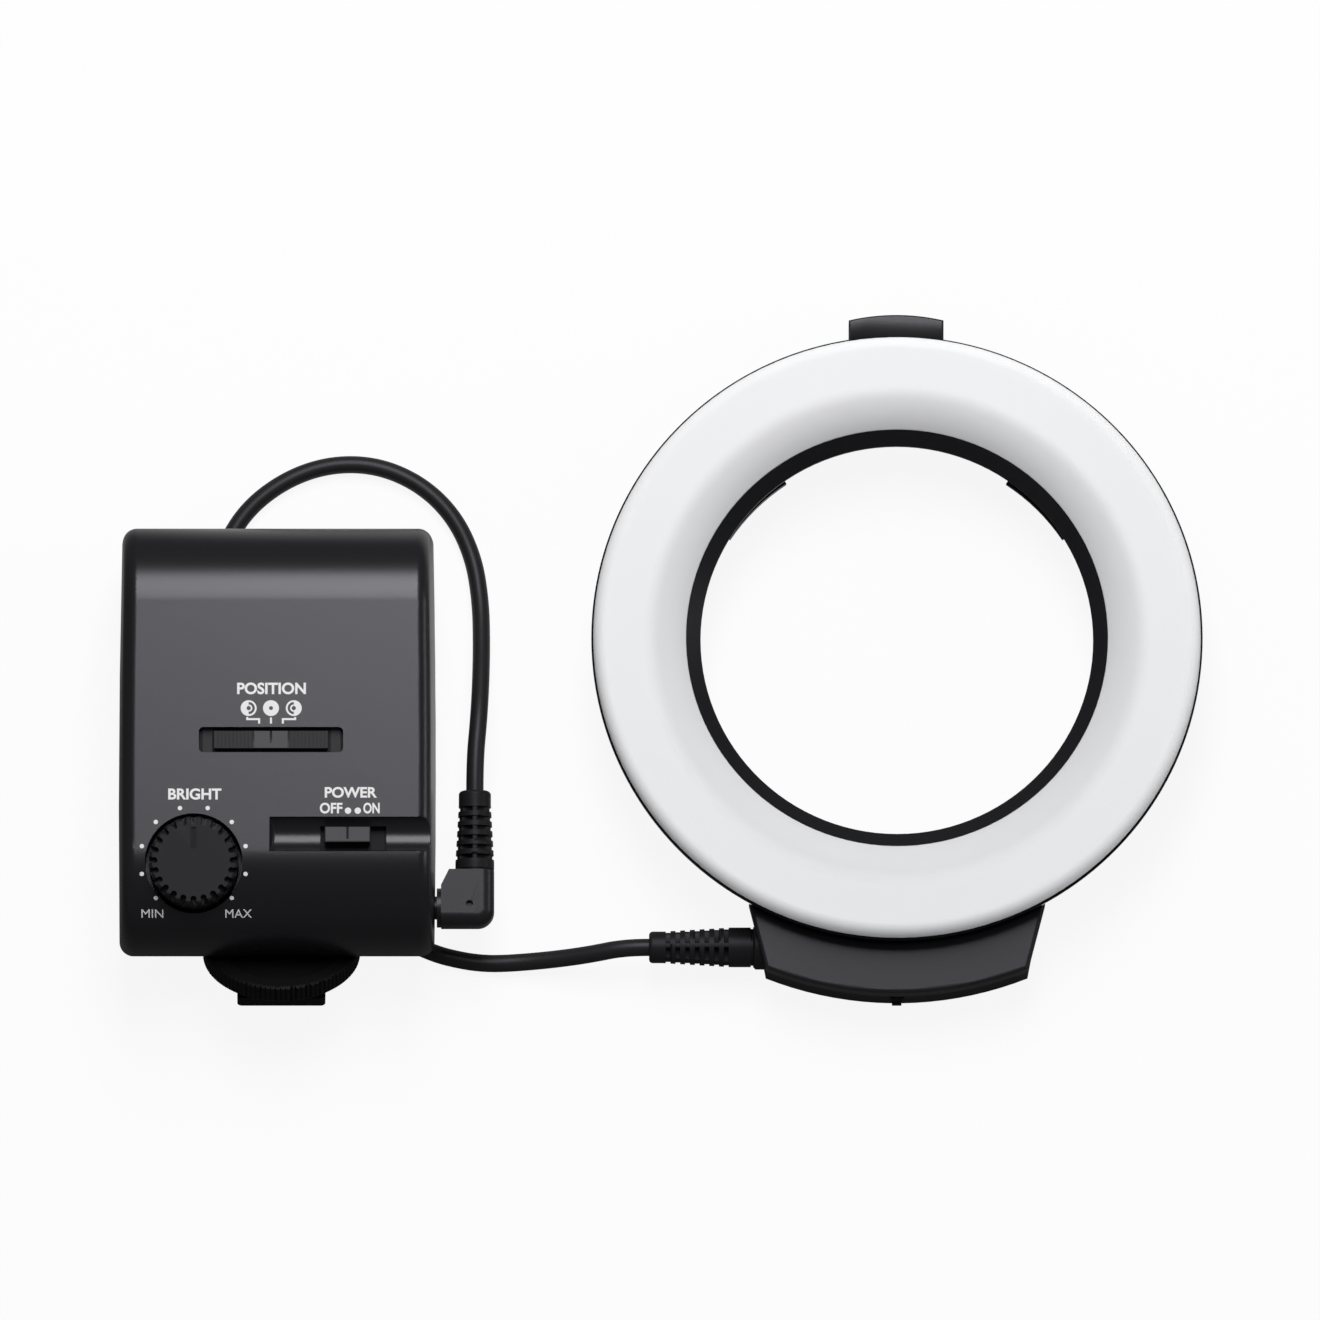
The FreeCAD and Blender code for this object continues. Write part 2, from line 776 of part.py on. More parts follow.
def reflector():
    """White tray between the light board and the diffuser, with a window for each light."""
    piece = Piece("reflector", axis=(0, 0, 1), angle=180 / LED_COUNT)
    low = led_board_face + 0.05
    high = low + mm.reflector_sheet
    inner = mm.led_board_inner
    outer = mm.led_board_outer + mm.reflector_sheet / 2
    top = high + mm.reflector_rise - 1.6
    piece.turn("XZ", "Z", [
        (inner, low),
        (outer, low),
        (outer + mm.reflector_flare, top),
        (outer + mm.reflector_flare - mm.reflector_sheet, top),
        (outer - mm.reflector_sheet, high),
        (inner + mm.reflector_sheet, high),
        (inner + mm.reflector_sheet, top + 0.6),
        (inner, top + 0.6),
    ])
    half_long = mm.led_long / 2 + mm.led_window_gap
    half_wide = mm.led_wide / 2 + mm.led_window_gap
    window = piece.cut("XY", low, high, rectangle(mm.led_circle - half_long, -half_wide,
                                                  mm.led_circle + half_long, half_wide))
    piece.polar([window], LED_COUNT)
    return piece


def led_board():
    """Ring-shaped circuit board on the shell's bosses."""
    piece = Piece("led_board")
    piece.pad("XY", mm.led_board_height, led_board_face,
              Circle(0, 0, mm.led_board_outer), Circle(0, 0, mm.led_board_inner))
    places = [spot(mm.boss_circle, 45 + 90 * turn) for turn in range(4)]
    piece.cut("XY", mm.led_board_height, led_board_face,
              *[Circle(x, y, screw_hole) for x, y in places])
    piece.cut("XY", led_board_face - mm.board_screw_head, led_board_face,
              *[Circle(x, y, mm.board_screw_radius + mm.screw_gap) for x, y in places])
    return piece


def leds():
    """White light-emitting chips, evenly spaced round the board."""
    piece = Piece("leds", axis=(0, 0, 1), angle=180 / LED_COUNT)
    chip = piece.pad("XY", led_board_face, led_board_face + mm.led_thick,
                     rectangle(mm.led_circle - mm.led_long / 2, -mm.led_wide / 2,
                               mm.led_circle + mm.led_long / 2, mm.led_wide / 2))
    piece.polar([chip], LED_COUNT)
    return piece


def board_screws():
    """Screws that hold the light board to its bosses."""
    piece = Piece("board_screws")
    places = [spot(mm.boss_circle, 45 + 90 * turn) for turn in range(4)]
    head = led_board_face - mm.board_screw_head
    piece.pad("XY", mm.led_board_height - 4, head, *[Circle(x, y, mm.screw_shank) for x, y in places])
    piece.pad("XY", head, led_board_face, *[Circle(x, y, mm.board_screw_radius) for x, y in places])
    return piece


def latch_frame():
    """Sheet frame round the barrel: the button pushes it down and its hook leaves the bore."""
    piece = Piece("latch_frame")
    low, high = mm.latch_floor, mm.latch_floor + mm.latch_thick
    piece.pad("XY", low, high,
              Circle(0, 0, mm.latch_inner + mm.latch_band), Circle(0, 0, mm.latch_inner))
    half = mm.latch_hook_half
    top = -root(mm.latch_reach * mm.latch_reach - half * half)
    bottom = -root(mm.latch_inner * mm.latch_inner - half * half)
    piece.pad("XY", low, high, [
        (-half, top),
        (-half, bottom - 1),
        (half, bottom - 1),
        (half, top),
        Arc(-half, top, mm.latch_reach, "left"),
    ])
    piece.pad("XY", low, high, rectangle(-mm.latch_arm_half, mm.latch_inner + mm.latch_band / 2,
                                         mm.latch_arm_half, button_back))
    return piece


def release_button():
    """Tab at the top of the ring, with an arched outer face; it presses towards the axis."""
    piece = Piece("release_button")
    half = mm.button_half
    arch = mm.button_arch
    shoulder = button_reach - arch + root(arch * arch - half * half)
    piece.pad("XY", mm.button_floor, mm.button_floor + mm.button_thick, [
        (-half, button_back),
        (half, button_back),
        (half, shoulder),
        Arc(-half, shoulder, arch, "right"),
    ])
    face = mm.button_floor.value + mm.button_thick.value - 0.01
    low = button_back.value + 0.1
    piece.dress("Fillet", piece.edges(lambda middle, edge: middle.z > face and middle.y > low),
                mm.button_edge)
    return piece


def release_spring():
    """Arched leaf behind the button, drawn pressed flat enough for the button's full travel."""
    piece = Piece("release_spring")
    half = mm.spring_half - 0.5
    rise = mm.spring_rise - mm.spring_sheet
    radius = (half * half + rise * rise) / (2 * rise)
    back = button_back - mm.spring_rise
    piece.pad("XY", mm.button_floor + 0.3, mm.latch_floor - 0.5, [
        (-half, button_back - mm.spring_sheet),
        Arc(half, button_back - mm.spring_sheet, radius, "right"),
        (half, button_back),
        Arc(-half, button_back, radius, "left"),
    ])
    return piece


def base_front_cover():
    """Dark grey front of the base block, with a flat bare face."""
    piece = Piece("base_front_cover")
    piece.pad("XY", mm.base_split, mm.base_face, base_outline(base_inner, base_reach, 0))
    face = mm.base_face.value
    piece.dress("Fillet", piece.edges(
        lambda middle, edge: middle.z > face - 0.01 and middle.y < -base_inner.value * 0.995
        or middle.z > face - 0.01 and abs(middle.x) > mm.base_foot.value), mm.base_edge)
    piece.cut("XY", mm.base_split, mm.base_face - mm.base_wall,
              base_outline(base_inner + mm.base_wall, base_reach - mm.base_wall, mm.base_wall))
    piece.cut("YZ", mm.collar_front - mm.seat_reach, mm.collar_front + mm.collar_long + mm.seat_gap,
              Circle(relief_y, mm.relief_height, mm.collar_radius + mm.seat_gap))
    piece.pad("XY", mm.shell_floor + 0.1, mm.base_face - mm.base_wall + 0.3,
              *[Circle(x, y, mm.screw_head + 0.3) for x, y in base_screw_places()])
    piece.cut("XY", mm.shell_floor, mm.base_face - mm.base_wall - 2,
              *[Circle(x, y, screw_thread) for x, y in base_screw_places()])
    return piece


def rear_screws():
    """Six like screws in the rear face: four hold the bezel, two the base cover."""
    piece = Piece("rear_screws")
    places = ear_places() + base_screw_places()
    head_top = mm.screw_sink + mm.screw_head_thick
    piece.pad("XY", mm.screw_sink, head_top, *[Circle(x, y, mm.screw_head) for x, y in places])
    piece.pad("XY", head_top, mm.shell_floor + mm.ear_thick - 0.2,
              *[Circle(x, y, mm.screw_shank) for x, y in places])
    piece.cut("XY", mm.screw_sink, mm.screw_sink + mm.drive_deep, *[drive(x, y) for x, y in places])
    return piece


def terminal_board():
    """Small board in the base that takes the cord's two cores."""
    piece = Piece("terminal_board")
    middle = -(base_inner + base_reach) / 2
    half = mm.terminal_long / 2
    piece.pad("XY", mm.shell_floor, mm.shell_floor + mm.board_thick,
              rectangle(-half, middle - mm.terminal_deep / 2, half, middle + mm.terminal_deep / 2))
    return piece


def head_ribbon():
    """Flat ribbon from the terminal board through the gate to the light board."""
    piece = Piece("head_ribbon")
    middle = -(base_inner + base_reach) / 2
    end = -(mm.led_board_outer - 3)
    low = mm.shell_floor + mm.board_thick
    run = low + 1.6
    thick = mm.ribbon_thick
    piece.pad("YZ", -mm.ribbon_half, mm.ribbon_half, [
        (middle, low),
        (middle + thick, low),
        (middle + thick, run),
        (end, run),
        (end, mm.led_board_height),
        (end - thick, mm.led_board_height),
        (end - thick, run + thick),
        (middle, run + thick),
    ])
    return piece


def cable_collar():
    """Ring nut of the cord's entry, let into the side wall of the base."""
    piece = Piece("cable_collar", mm.collar_front, relief_y, mm.relief_height)
    piece.turn("XY", "X", [
        (0, 0),
        (mm.collar_long, 0),
        (mm.collar_long, mm.collar_radius),
        (0.5, mm.collar_radius),
        (0, mm.collar_radius - 0.5),
    ])
    return piece


def strain_relief(name, place, axis, angle, radii, plain, grooves):
    """Tapered rubber sleeve with a row of slots on either side of its spines, and a rounded end."""
    piece = Piece(name, *place, axis=axis, angle=angle)
    radius, tip = radii
    ribbed = plain + mm.rib_pitch * grooves
    end = ribbed + mm.relief_end
    piece.turn("XY", "X", [
        (0, 0),
        (end, 0),
        (end, tip - mm.relief_end_round),
        Arc(end - mm.relief_end_round, tip, mm.relief_end_round, "right"),
        (ribbed, tip),
        (plain, radius),
        (0.5, radius),
        (0.5, radius - 0.3),
        (0, radius - 0.3),
    ])
    start = plain + (mm.rib_pitch - mm.rib_groove) / 2
    stop = start + mm.rib_groove
    spine = mm.rib_spine / 2
    reach = radius + 1
    sides = [rectangle(start, -reach, stop, -spine), rectangle(start, spine, stop, reach)]
    upper = piece.cut("XY", mm.rib_core, reach, *sides)
    lower = piece.cut("XY", -reach, -mm.rib_core, *sides)
    piece.row([upper, lower], "X", mm.rib_pitch * (grooves - 1), grooves)
    fall = (radius - tip) / (ribbed - plain)
    piece.groove("XY", "X", *[rectangle(
        start + mm.rib_pitch * slot, radius - mm.rib_depth - fall * (start + mm.rib_pitch * slot - plain),
        stop + mm.rib_pitch * slot, reach) for slot in range(grooves)])
    return piece


def head_strain_relief():
    """Strain relief at the ring's base, pointing away from it."""
    place = (mm.collar_front, relief_y, mm.relief_height)
    radii = (mm.head_relief_radius, mm.head_relief_tip)
    return strain_relief("head_strain_relief", place, (0, 0, 1), 180, radii, mm.head_relief_plain, HEAD_RIBS)


def plug_strain_relief():
    """Strain relief on top of the plug's body."""
    place = (mm.cord_x, mm.plug_top, mm.jack_height)
    radii = (mm.plug_relief_radius, mm.plug_relief_tip)
    return strain_relief("plug_strain_relief", place, (0, 0, 1), 90, radii, mm.plug_relief_plain, PLUG_RIBS)


def case_outline(half):
    """Plan of the controller's case: bowed sides that come in a little towards the top."""
    half = size(half)
    narrow = half - mm.case_narrow
    return [
        (-half, mm.case_bottom),
        (half, mm.case_bottom),
        Arc(narrow, mm.case_top, mm.side_radius, "right"),
        (-narrow, mm.case_top),
        Arc(-half, mm.case_bottom, mm.side_radius, "right"),
    ]


chin_round = mm.panel_height - mm.part_height
chin_start = mm.case_bottom + chin_round
crown_start = mm.case_top - mm.top_round
inner_panel = mm.panel_height - mm.case_wall
bevel_start = mm.case_bottom + mm.part_height - mm.back_height
wheel_low = mm.wheel_gap + mm.wheel_thick
foot_height = (mm.wheel_radius + wheel_low) * HALF_ROOT
foot_y = mm.case_bottom + mm.part_height - foot_height
dial_x = mm.dial_inset - mm.waist_half
power_window_right = mm.waist_half - mm.power_window_inset
power_window_left = power_window_right - mm.power_window_long
channel_left = power_window_left - mm.channel_run
front_post_top = mm.board_height + mm.board_thick


def case_posts(piece, low, high, radius, places):
    piece.pad("XY", low, high, *[Circle(x, y, radius) for x, y in places])


def top_posts():
    return [(-mm.post_x, mm.top_post_y), (mm.post_x, mm.top_post_y)]


def low_posts():
    return [(-mm.post_x, mm.low_post_y), (mm.post_x, mm.low_post_y)]


def crown_and_chin(piece):
    """Cuts the round crown and chin out of the case's front corners."""
    piece.cut("YZ", -(mm.waist_half + OVERCUT), mm.waist_half + OVERCUT, [
        (mm.case_bottom, mm.part_height),
        Arc(chin_start, mm.panel_height, chin_round, "left"),
        (chin_start, mm.panel_height + OVERCUT),
        (mm.case_bottom - OVERCUT, mm.panel_height + OVERCUT),
        (mm.case_bottom - OVERCUT, mm.part_height),
    ], [
        (crown_start, mm.panel_height),
        Arc(mm.case_top, mm.panel_height - mm.top_round, mm.top_round, "left"),
        (mm.case_top + OVERCUT, mm.panel_height - mm.top_round),
        (mm.case_top + OVERCUT, mm.panel_height + OVERCUT),
        (crown_start, mm.panel_height + OVERCUT),
    ])


def controller_front_shell():
    """Textured front of the controller: flat panel, rounded crown and chin, wells for the controls."""
    piece = Piece("controller_front_shell", mm.case_x)
    piece.loft(mm.part_height, case_outline(mm.waist_half), mm.panel_height, case_outline(mm.panel_half))
    crown_and_chin(piece)
    low = mm.part_height.value
    side = mm.panel_half.value - mm.case_narrow.value - 0.5

    def on_side(middle, edge):
        return abs(middle.x) > side and edge.BoundBox.ZMax > low + 0.01

    piece.dress("Fillet", piece.edges(on_side), mm.case_edge)
    # cavity, with the crown and the chin inside too
    piece.cut("YZ", -mm.cavity_half, mm.cavity_half, [
        (mm.case_bottom + mm.case_wall, mm.part_height - 1),
        (mm.case_top - mm.case_wall, mm.part_height - 1),
        (mm.case_top - mm.case_wall, mm.panel_height - mm.top_round),
        Arc(crown_start, inner_panel, mm.top_round - mm.case_wall, "right"),
        (chin_start, inner_panel),
        Arc(mm.case_bottom + mm.case_wall, mm.part_height, chin_round - mm.case_wall, "right"),
    ])
    # walls of the dial's well, of the channel and the screw posts
    piece.pad("XY", mm.dial_floor - mm.case_wall, inner_panel + 0.5,
              Circle(dial_x, mm.dial_y, mm.dial_well + mm.well_wall))
    piece.pad("XY", inner_panel - mm.channel_deep, inner_panel + 0.5,
              rectangle(channel_left - 1, mm.power_y - mm.channel_wide / 2 - 1.2,
                        mm.cavity_half + 0.5, mm.power_y + mm.channel_wide / 2 + 1.2))
    case_posts(piece, front_post_top, inner_panel + 0.5, mm.post_radius, low_posts())
    case_posts(piece, mm.part_height, mm.part_height + 12, mm.post_radius - 0.5, top_posts())
    crown_and_chin(piece)
    # dial well and its shaft hole
    piece.cut("XY", mm.dial_floor, mm.panel_height + 3, Circle(dial_x, mm.dial_y, mm.dial_well))
    piece.cut("XY", mm.dial_floor - 3, mm.panel_height,
              Circle(dial_x, mm.dial_y, mm.shaft_radius + mm.seat_gap))
    # slot of the position switch
    piece.cut("XY", inner_panel - 1, mm.panel_height + 2, rounded(
        mm.position_x - mm.position_slot_long / 2, mm.position_y - mm.position_slot_wide / 2,
        mm.position_x + mm.position_slot_long / 2, mm.position_y + mm.position_slot_wide / 2, mm.slot_corner))
    # trough of the power switch, open at the right side, and its window
    half = mm.channel_wide / 2
    trough = (half * half + mm.channel_deep * mm.channel_deep) / (2 * mm.channel_deep)
    bottom = mm.panel_height - mm.channel_deep - 0.1
    piece.cut("YZ", channel_left, mm.waist_half + OVERCUT, [
        (mm.power_y - half, mm.panel_height + 1),
        (mm.power_y - half, mm.panel_height),
        Arc(mm.power_y + half, mm.panel_height, trough, "right"),
        (mm.power_y + half, mm.panel_height + 1),
    ])
    piece.pad("XZ", mm.power_y - half, mm.power_y + half, [
        (channel_left - 0.1, bottom),
        (channel_left + mm.channel_slope, bottom),
        (channel_left, mm.panel_height),
        (channel_left - 0.1, mm.panel_height),
    ])
    piece.cut("XY", inner_panel - mm.channel_deep - 1, mm.panel_height, rectangle(
        power_window_left, mm.power_y - mm.power_knob_wide / 2 - mm.knob_foot_gap - mm.power_window_low,
        power_window_right, mm.power_y + mm.power_knob_wide / 2 + mm.knob_foot_gap))
    # screw holes and the jack's mouth
    piece.cut("XY", front_post_top, front_post_top + 8,
              *[Circle(x, y, screw_thread) for x, y in low_posts()])
    piece.cut("XY", mm.part_height, mm.part_height + 8,
              *[Circle(x, y, screw_thread) for x, y in top_posts()])
    piece.cut("YZ", mm.cavity_half - 1, mm.waist_half + 2,
              Circle(mm.jack_y, mm.jack_height, mm.jack_barrel + mm.seat_gap))
    return piece


def controller_rear_shell():
    """Rear of the controller: tapered tray with a bevel for the foot and the battery opening."""
    piece = Piece("controller_rear_shell", mm.case_x)
    piece.loft(mm.back_height, case_outline(mm.back_half), mm.part_height, case_outline(mm.waist_half))
    piece.cut("YZ", -(mm.waist_half + OVERCUT), mm.waist_half + OVERCUT, [
        (bevel_start, mm.back_height),
        (mm.case_bottom, mm.part_height),
        (mm.case_bottom - OVERCUT, mm.part_height),
        (mm.case_bottom - OVERCUT, mm.back_height - 1),
        (bevel_start, mm.back_height - 1),
    ], [
        (mm.case_top - mm.back_corner, mm.back_height - 1),
        (mm.case_top + OVERCUT, mm.back_height - 1),
        (mm.case_top + OVERCUT, mm.back_height + mm.back_corner),
        (mm.case_top, mm.back_height + mm.back_corner),
        Arc(mm.case_top - mm.back_corner, mm.back_height, mm.back_corner, "left"),
    ])
    high = mm.part_height.value
    side = mm.back_half.value - mm.case_narrow.value - 0.6

    def on_side(middle, edge):
        return abs(middle.x) > side and edge.BoundBox.ZMin < high - 0.01

    piece.dress("Fillet", piece.edges(on_side), mm.case_edge)
    wall = mm.case_wall
    slant = wall * (math.sqrt(2) - 1)
    piece.cut("YZ", -mm.cavity_half, mm.cavity_half, [
        (bevel_start + slant, mm.back_height + wall),
        (mm.case_top - mm.back_corner, mm.back_height + wall),
        Arc(mm.case_top - wall, mm.back_height + mm.back_corner, mm.back_corner - wall, "right"),
        (mm.case_top - wall, mm.part_height + 1),
        (mm.case_bottom + wall + slant - 1, mm.part_height + 1),
    ])
    # battery opening, its door seat and the tongues' grooves, open at the left side
    door_right = mm.door_long - mm.waist_half
    low = mm.back_height
    piece.cut("XY", low - 1, low + wall + 0.1, rectangle(
        -(mm.waist_half + OVERCUT), mm.bay_y - mm.door_half, door_right, mm.bay_y + mm.door_half))
    piece.cut("XY", low + wall - 1.2, low + wall + 0.1, rectangle(
        -(mm.waist_half + OVERCUT), mm.bay_y - mm.door_half - mm.door_tongue,
        door_right, mm.bay_y + mm.door_half + mm.door_tongue))
    piece.tilted_hole(mm.foot_x, foot_y, foot_height, mm.foot_tilt, mm.stem_radius + mm.seat_gap)
    # posts for the case screws
    case_posts(piece, low + 1, mm.board_height, mm.post_radius, low_posts())
    case_posts(piece, low + 1, mm.part_height, mm.post_radius - 0.5, top_posts())
    for places in (top_posts(), low_posts()):
        piece.cut("XY", low - 1, mm.board_height, *[Circle(x, y, screw_hole) for x, y in places])
        piece.cut("XY", low - 1, low + mm.screw_sink + mm.screw_head_thick,
                  *[Circle(x, y, screw_recess) for x, y in places])
    piece.cut("YZ", mm.cavity_half - 1, mm.waist_half + 2,
              Circle(mm.jack_y, mm.jack_height, mm.jack_barrel + mm.seat_gap))
    return piece


def control_board():
    """Circuit board across the controller, notched round the low screw posts."""
    piece = Piece("control_board", mm.case_x)
    piece.pad("XY", mm.board_height, front_post_top,
              rounded(-mm.board_half, mm.board_bottom, mm.board_half, mm.board_top, 2.0))
    piece.cut("XY", mm.board_height, front_post_top,
              *[Circle(x, y, screw_hole) for x, y in low_posts()])
    return piece


def driver_coil():
    """Wound coil of the light driver: drum with two flanges."""
    piece = Piece("driver_coil", mm.case_x + mm.coil_x, mm.coil_y, front_post_top)
    radius = mm.coil_radius
    waist = radius - mm.coil_flange
    piece.turn("XZ", "Z", [
        (0, 0),
        (radius, 0),
        (radius, mm.coil_flange),
        (waist, mm.coil_flange),
        (waist, mm.coil_tall - mm.coil_flange),
        (radius, mm.coil_tall - mm.coil_flange),
        (radius, mm.coil_tall),
        (0, mm.coil_tall),
    ])
    return piece


def capacitors():
    """Two like electrolytic capacitors standing on the board."""
    piece = Piece("capacitors", mm.case_x + mm.capacitor_x, mm.capacitor_y, front_post_top)
    can = piece.pad("XY", 0, mm.capacitor_tall, Circle(0, 0, mm.capacitor_radius))
    piece.row([can], "X", mm.capacitor_pitch, 2)
    return piece


def driver_chip():
    """Driver chip, flat on the board, with its legs as one strip at each side."""
    piece = Piece("driver_chip", mm.case_x + mm.chip_x, mm.chip_y, front_post_top)
    half = mm.chip_long / 2
    piece.pad("XY", 0.2, mm.chip_thick, rectangle(-half, -half, half, half))
    for leg in range(8):
        y = size(leg // 2 * 1.5 - 2.25)
        side = 1 if leg % 2 else -1
        x_low, x_high = (half, half + 0.9) if side > 0 else (-half - 0.9, -half)
        piece.pad("XY", 0, 0.5, rectangle(x_low, y - 0.25, x_high, y + 0.25))
    return piece


def brightness_potentiometer():
    """Rotary potentiometer on the board, under the dial."""
    piece = Piece("brightness_potentiometer", mm.case_x + dial_x, mm.dial_y, front_post_top)
    half = mm.pot_half
    piece.pad("XY", 0, mm.pot_thick, rounded(-half, -half, half, half, 1.0))
    piece.cut("XY", mm.pot_floor, mm.pot_thick, Circle(0, 0, mm.shaft_radius + mm.thread_gap))
    return piece


def dial_shaft():
    """Shaft of the potentiometer, flatted at its top for the dial."""
    piece = Piece("dial_shaft", mm.case_x + dial_x, mm.dial_y, front_post_top)
    top = mm.panel_height - front_post_top
    flat = mm.dial_floor + mm.dial_gap - front_post_top
    piece.pad("XY", mm.pot_floor + mm.thread_gap, top, Circle(0, 0, mm.shaft_radius))
    piece.cut("XY", flat, top, rectangle(
        -mm.shaft_radius, mm.shaft_radius - mm.shaft_flat, mm.shaft_radius, mm.shaft_radius + 1))
    return piece


def brightness_dial():
    """Dial with a fluted rim, a cut index bar and a flatted bore that takes the shaft."""
    piece = Piece("brightness_dial", mm.case_x + dial_x, mm.dial_y, mm.dial_floor + mm.dial_gap)
    tall = mm.panel_height + mm.dial_proud - mm.dial_floor - mm.dial_gap
    shaft_top = mm.panel_height - mm.dial_floor - mm.dial_gap
    edge = mm.dial_edge
    piece.turn("XZ", "Z", [
        (0, 0),
        (mm.dial_radius, 0),
        (mm.dial_radius, tall - edge),
        Arc(mm.dial_radius - edge, tall, edge, "right"),
        (0, tall),
    ])
    half = mm.flute_half
    inner = mm.flute_inner + half
    flute = piece.cut("XY", tall - mm.flute_deep, tall + 1, [
        (inner, -half),
        (mm.dial_radius + 1, -half),
        (mm.dial_radius + 1, half),
        (inner, half),
        Arc(inner, -half, half * FLUTE_ROUND, "right"),
    ])
    piece.polar([flute], DIAL_NOTCHES)
    bore = mm.shaft_radius + mm.shaft_fit
    flat = bore - mm.shaft_flat
    chord = root(bore * bore - flat * flat)
    piece.cut("XY", 0, shaft_top, [
        (-chord, flat),
        Arc(0, -bore, bore, "right"),
        Arc(chord, flat, bore, "right"),
    ])
    piece.cut("XY", tall - mm.index_deep, tall + 1, rectangle(
        -mm.index_wide / 2, mm.index_outer - mm.index_long, mm.index_wide / 2, mm.index_outer))
    return piece


def slot_plate(name, x, y, z, slot_long, slot_wide, rim):
    """Thin plate under a slot in the panel, with a slot of its own for the slider's neck."""
    piece = Piece(name, mm.case_x + x, y, z)
    half_long = slot_long / 2 + rim
    half_wide = slot_wide / 2 + rim
    neck_long = mm.lever_long / 2 + mm.switch_travel + mm.lever_gap
    neck_wide = mm.lever_wide / 2 + mm.lever_gap
    piece.pad("XY", 0, mm.slot_plate_thick,
              rectangle(-half_long, -half_wide, half_long, half_wide))
    return piece, neck_long, neck_wide


def position_slot_plate():
    """Dark plate under the position switch's slot."""
    piece, neck_long, neck_wide = slot_plate(
        "position_slot_plate", mm.position_x, mm.position_y, inner_panel - mm.slot_plate_thick,
        mm.position_slot_long, mm.position_slot_wide, mm.slot_plate_rim)
    piece.cut("XY", 0, mm.slot_plate_thick, rectangle(-neck_long, -neck_wide, neck_long, neck_wide))
    return piece


channel_floor = inner_panel - mm.channel_deep
power_rest_x = power_window_left + mm.power_rest_gap + mm.power_knob_long / 2


def power_slot_plate():
    """Dark plate under the power switch's window."""
    middle = (power_window_left + power_window_right) / 2
    piece, neck_long, neck_wide = slot_plate(
        "power_slot_plate", middle, mm.power_y, channel_floor - mm.slot_plate_thick,
        mm.power_window_long, mm.power_knob_wide,
        mm.knob_foot_gap + mm.power_window_low + mm.power_plate_rim)
    start = power_rest_x - middle
    piece.cut("XY", 0, mm.slot_plate_thick, rectangle(
        start - mm.lever_long / 2 - mm.lever_gap, -neck_wide,
        start + mm.lever_long / 2 + mm.switch_travel + mm.lever_gap, neck_wide))
    return piece


lever_low = front_post_top + mm.switch_thick - mm.lever_depth
lever_high = lever_low + mm.lever_depth + mm.lever_rise


def slider(name, x, y, foot, top, knob_long, knob_wide):
    """Slider: a cap in its slot and a neck down to the switch's lever."""
    piece = Piece(name, mm.case_x + x, y)
    half_long = knob_long / 2
    half_wide = knob_wide / 2
    piece.pad("XY", foot, top, rectangle(-half_long, -half_wide, half_long, half_wide))
    piece.pad("XY", lever_high, foot, rectangle(
        -mm.lever_long / 2, -mm.lever_wide / 2, mm.lever_long / 2, mm.lever_wide / 2))
    return piece


def index_line(piece, top, knob_wide):
    """Short cut line in a slider's cap, from its upper edge."""
    half = mm.knob_line / 2
    edge = knob_wide / 2
    piece.cut("XY", top - mm.knob_line_deep, top + 1,
              rectangle(-half, edge - mm.knob_line_long, half, edge + 1))


def position_slider():
    """Long slider that picks the left half, the whole ring or the right half, ribbed at both ends."""
    top = mm.panel_height + mm.knob_proud
    piece = slider("position_slider", mm.position_x, mm.position_y, inner_panel + mm.knob_foot_gap, top,
                   mm.position_knob_long, mm.position_knob_wide)
    low = top - mm.knob_rib_deep
    side = mm.position_knob_wide / 2 + 1
    start = mm.knob_centre_long / 2 + mm.knob_rib
    reach = mm.knob_rib_pitch * (KNOB_RIBS - 1)
    right = piece.cut("XY", low, top + 1, rectangle(start, -side, start + mm.knob_rib, side))
    piece.row([right], "X", reach, KNOB_RIBS)
    left = piece.cut("XY", low, top + 1, rectangle(-start - reach - mm.knob_rib, -side, -start - reach, side))
    piece.row([left], "X", reach, KNOB_RIBS)
    index_line(piece, top, mm.position_knob_wide)
    return piece


def power_slider():
    """Short smooth slider of the power switch, in its trough."""
    top = mm.panel_height - mm.power_knob_sunk
    piece = slider("power_slider", power_rest_x, mm.power_y, channel_floor + mm.knob_foot_gap, top,
                   mm.power_knob_long, mm.power_knob_wide)
    index_line(piece, top, mm.power_knob_wide)
    return piece


def slide_switch(name, x, y, low_reach, high_reach):
    """Slide switch on the board: a box with a slot in its top for the lever."""
    piece = Piece(name, mm.case_x + x, y, front_post_top)
    piece.pad("XY", 0, mm.switch_thick, rectangle(
        -mm.switch_long / 2, -mm.switch_wide / 2, mm.switch_long / 2, mm.switch_wide / 2))
    half = mm.lever_long / 2 + mm.lever_gap
    side = mm.lever_wide / 2 + mm.lever_gap
    piece.cut("XY", mm.switch_thick - mm.lever_depth - mm.knob_foot_gap, mm.switch_thick,
              rectangle(-half - low_reach, -side, half + high_reach, side))
    return piece


def switch_lever(name, x, y):
    """Metal lever of a slide switch, up into the slider's neck."""
    piece = Piece(name, mm.case_x + x, y)
    piece.pad("XY", lever_low, lever_high, rectangle(
        -mm.lever_long / 2, -mm.lever_wide / 2, mm.lever_long / 2, mm.lever_wide / 2))
    return piece


def position_switch():
    return slide_switch("position_switch", mm.position_x, mm.position_y, mm.switch_travel, mm.switch_travel)


def position_switch_lever():
    return switch_lever("position_switch_lever", mm.position_x, mm.position_y)


def power_switch():
    return slide_switch("power_switch", power_rest_x, mm.power_y, size(0), mm.switch_travel)


def power_switch_lever():
    return switch_lever("power_switch_lever", power_rest_x, mm.power_y)


jack_face = mm.waist_half - mm.jack_sunk


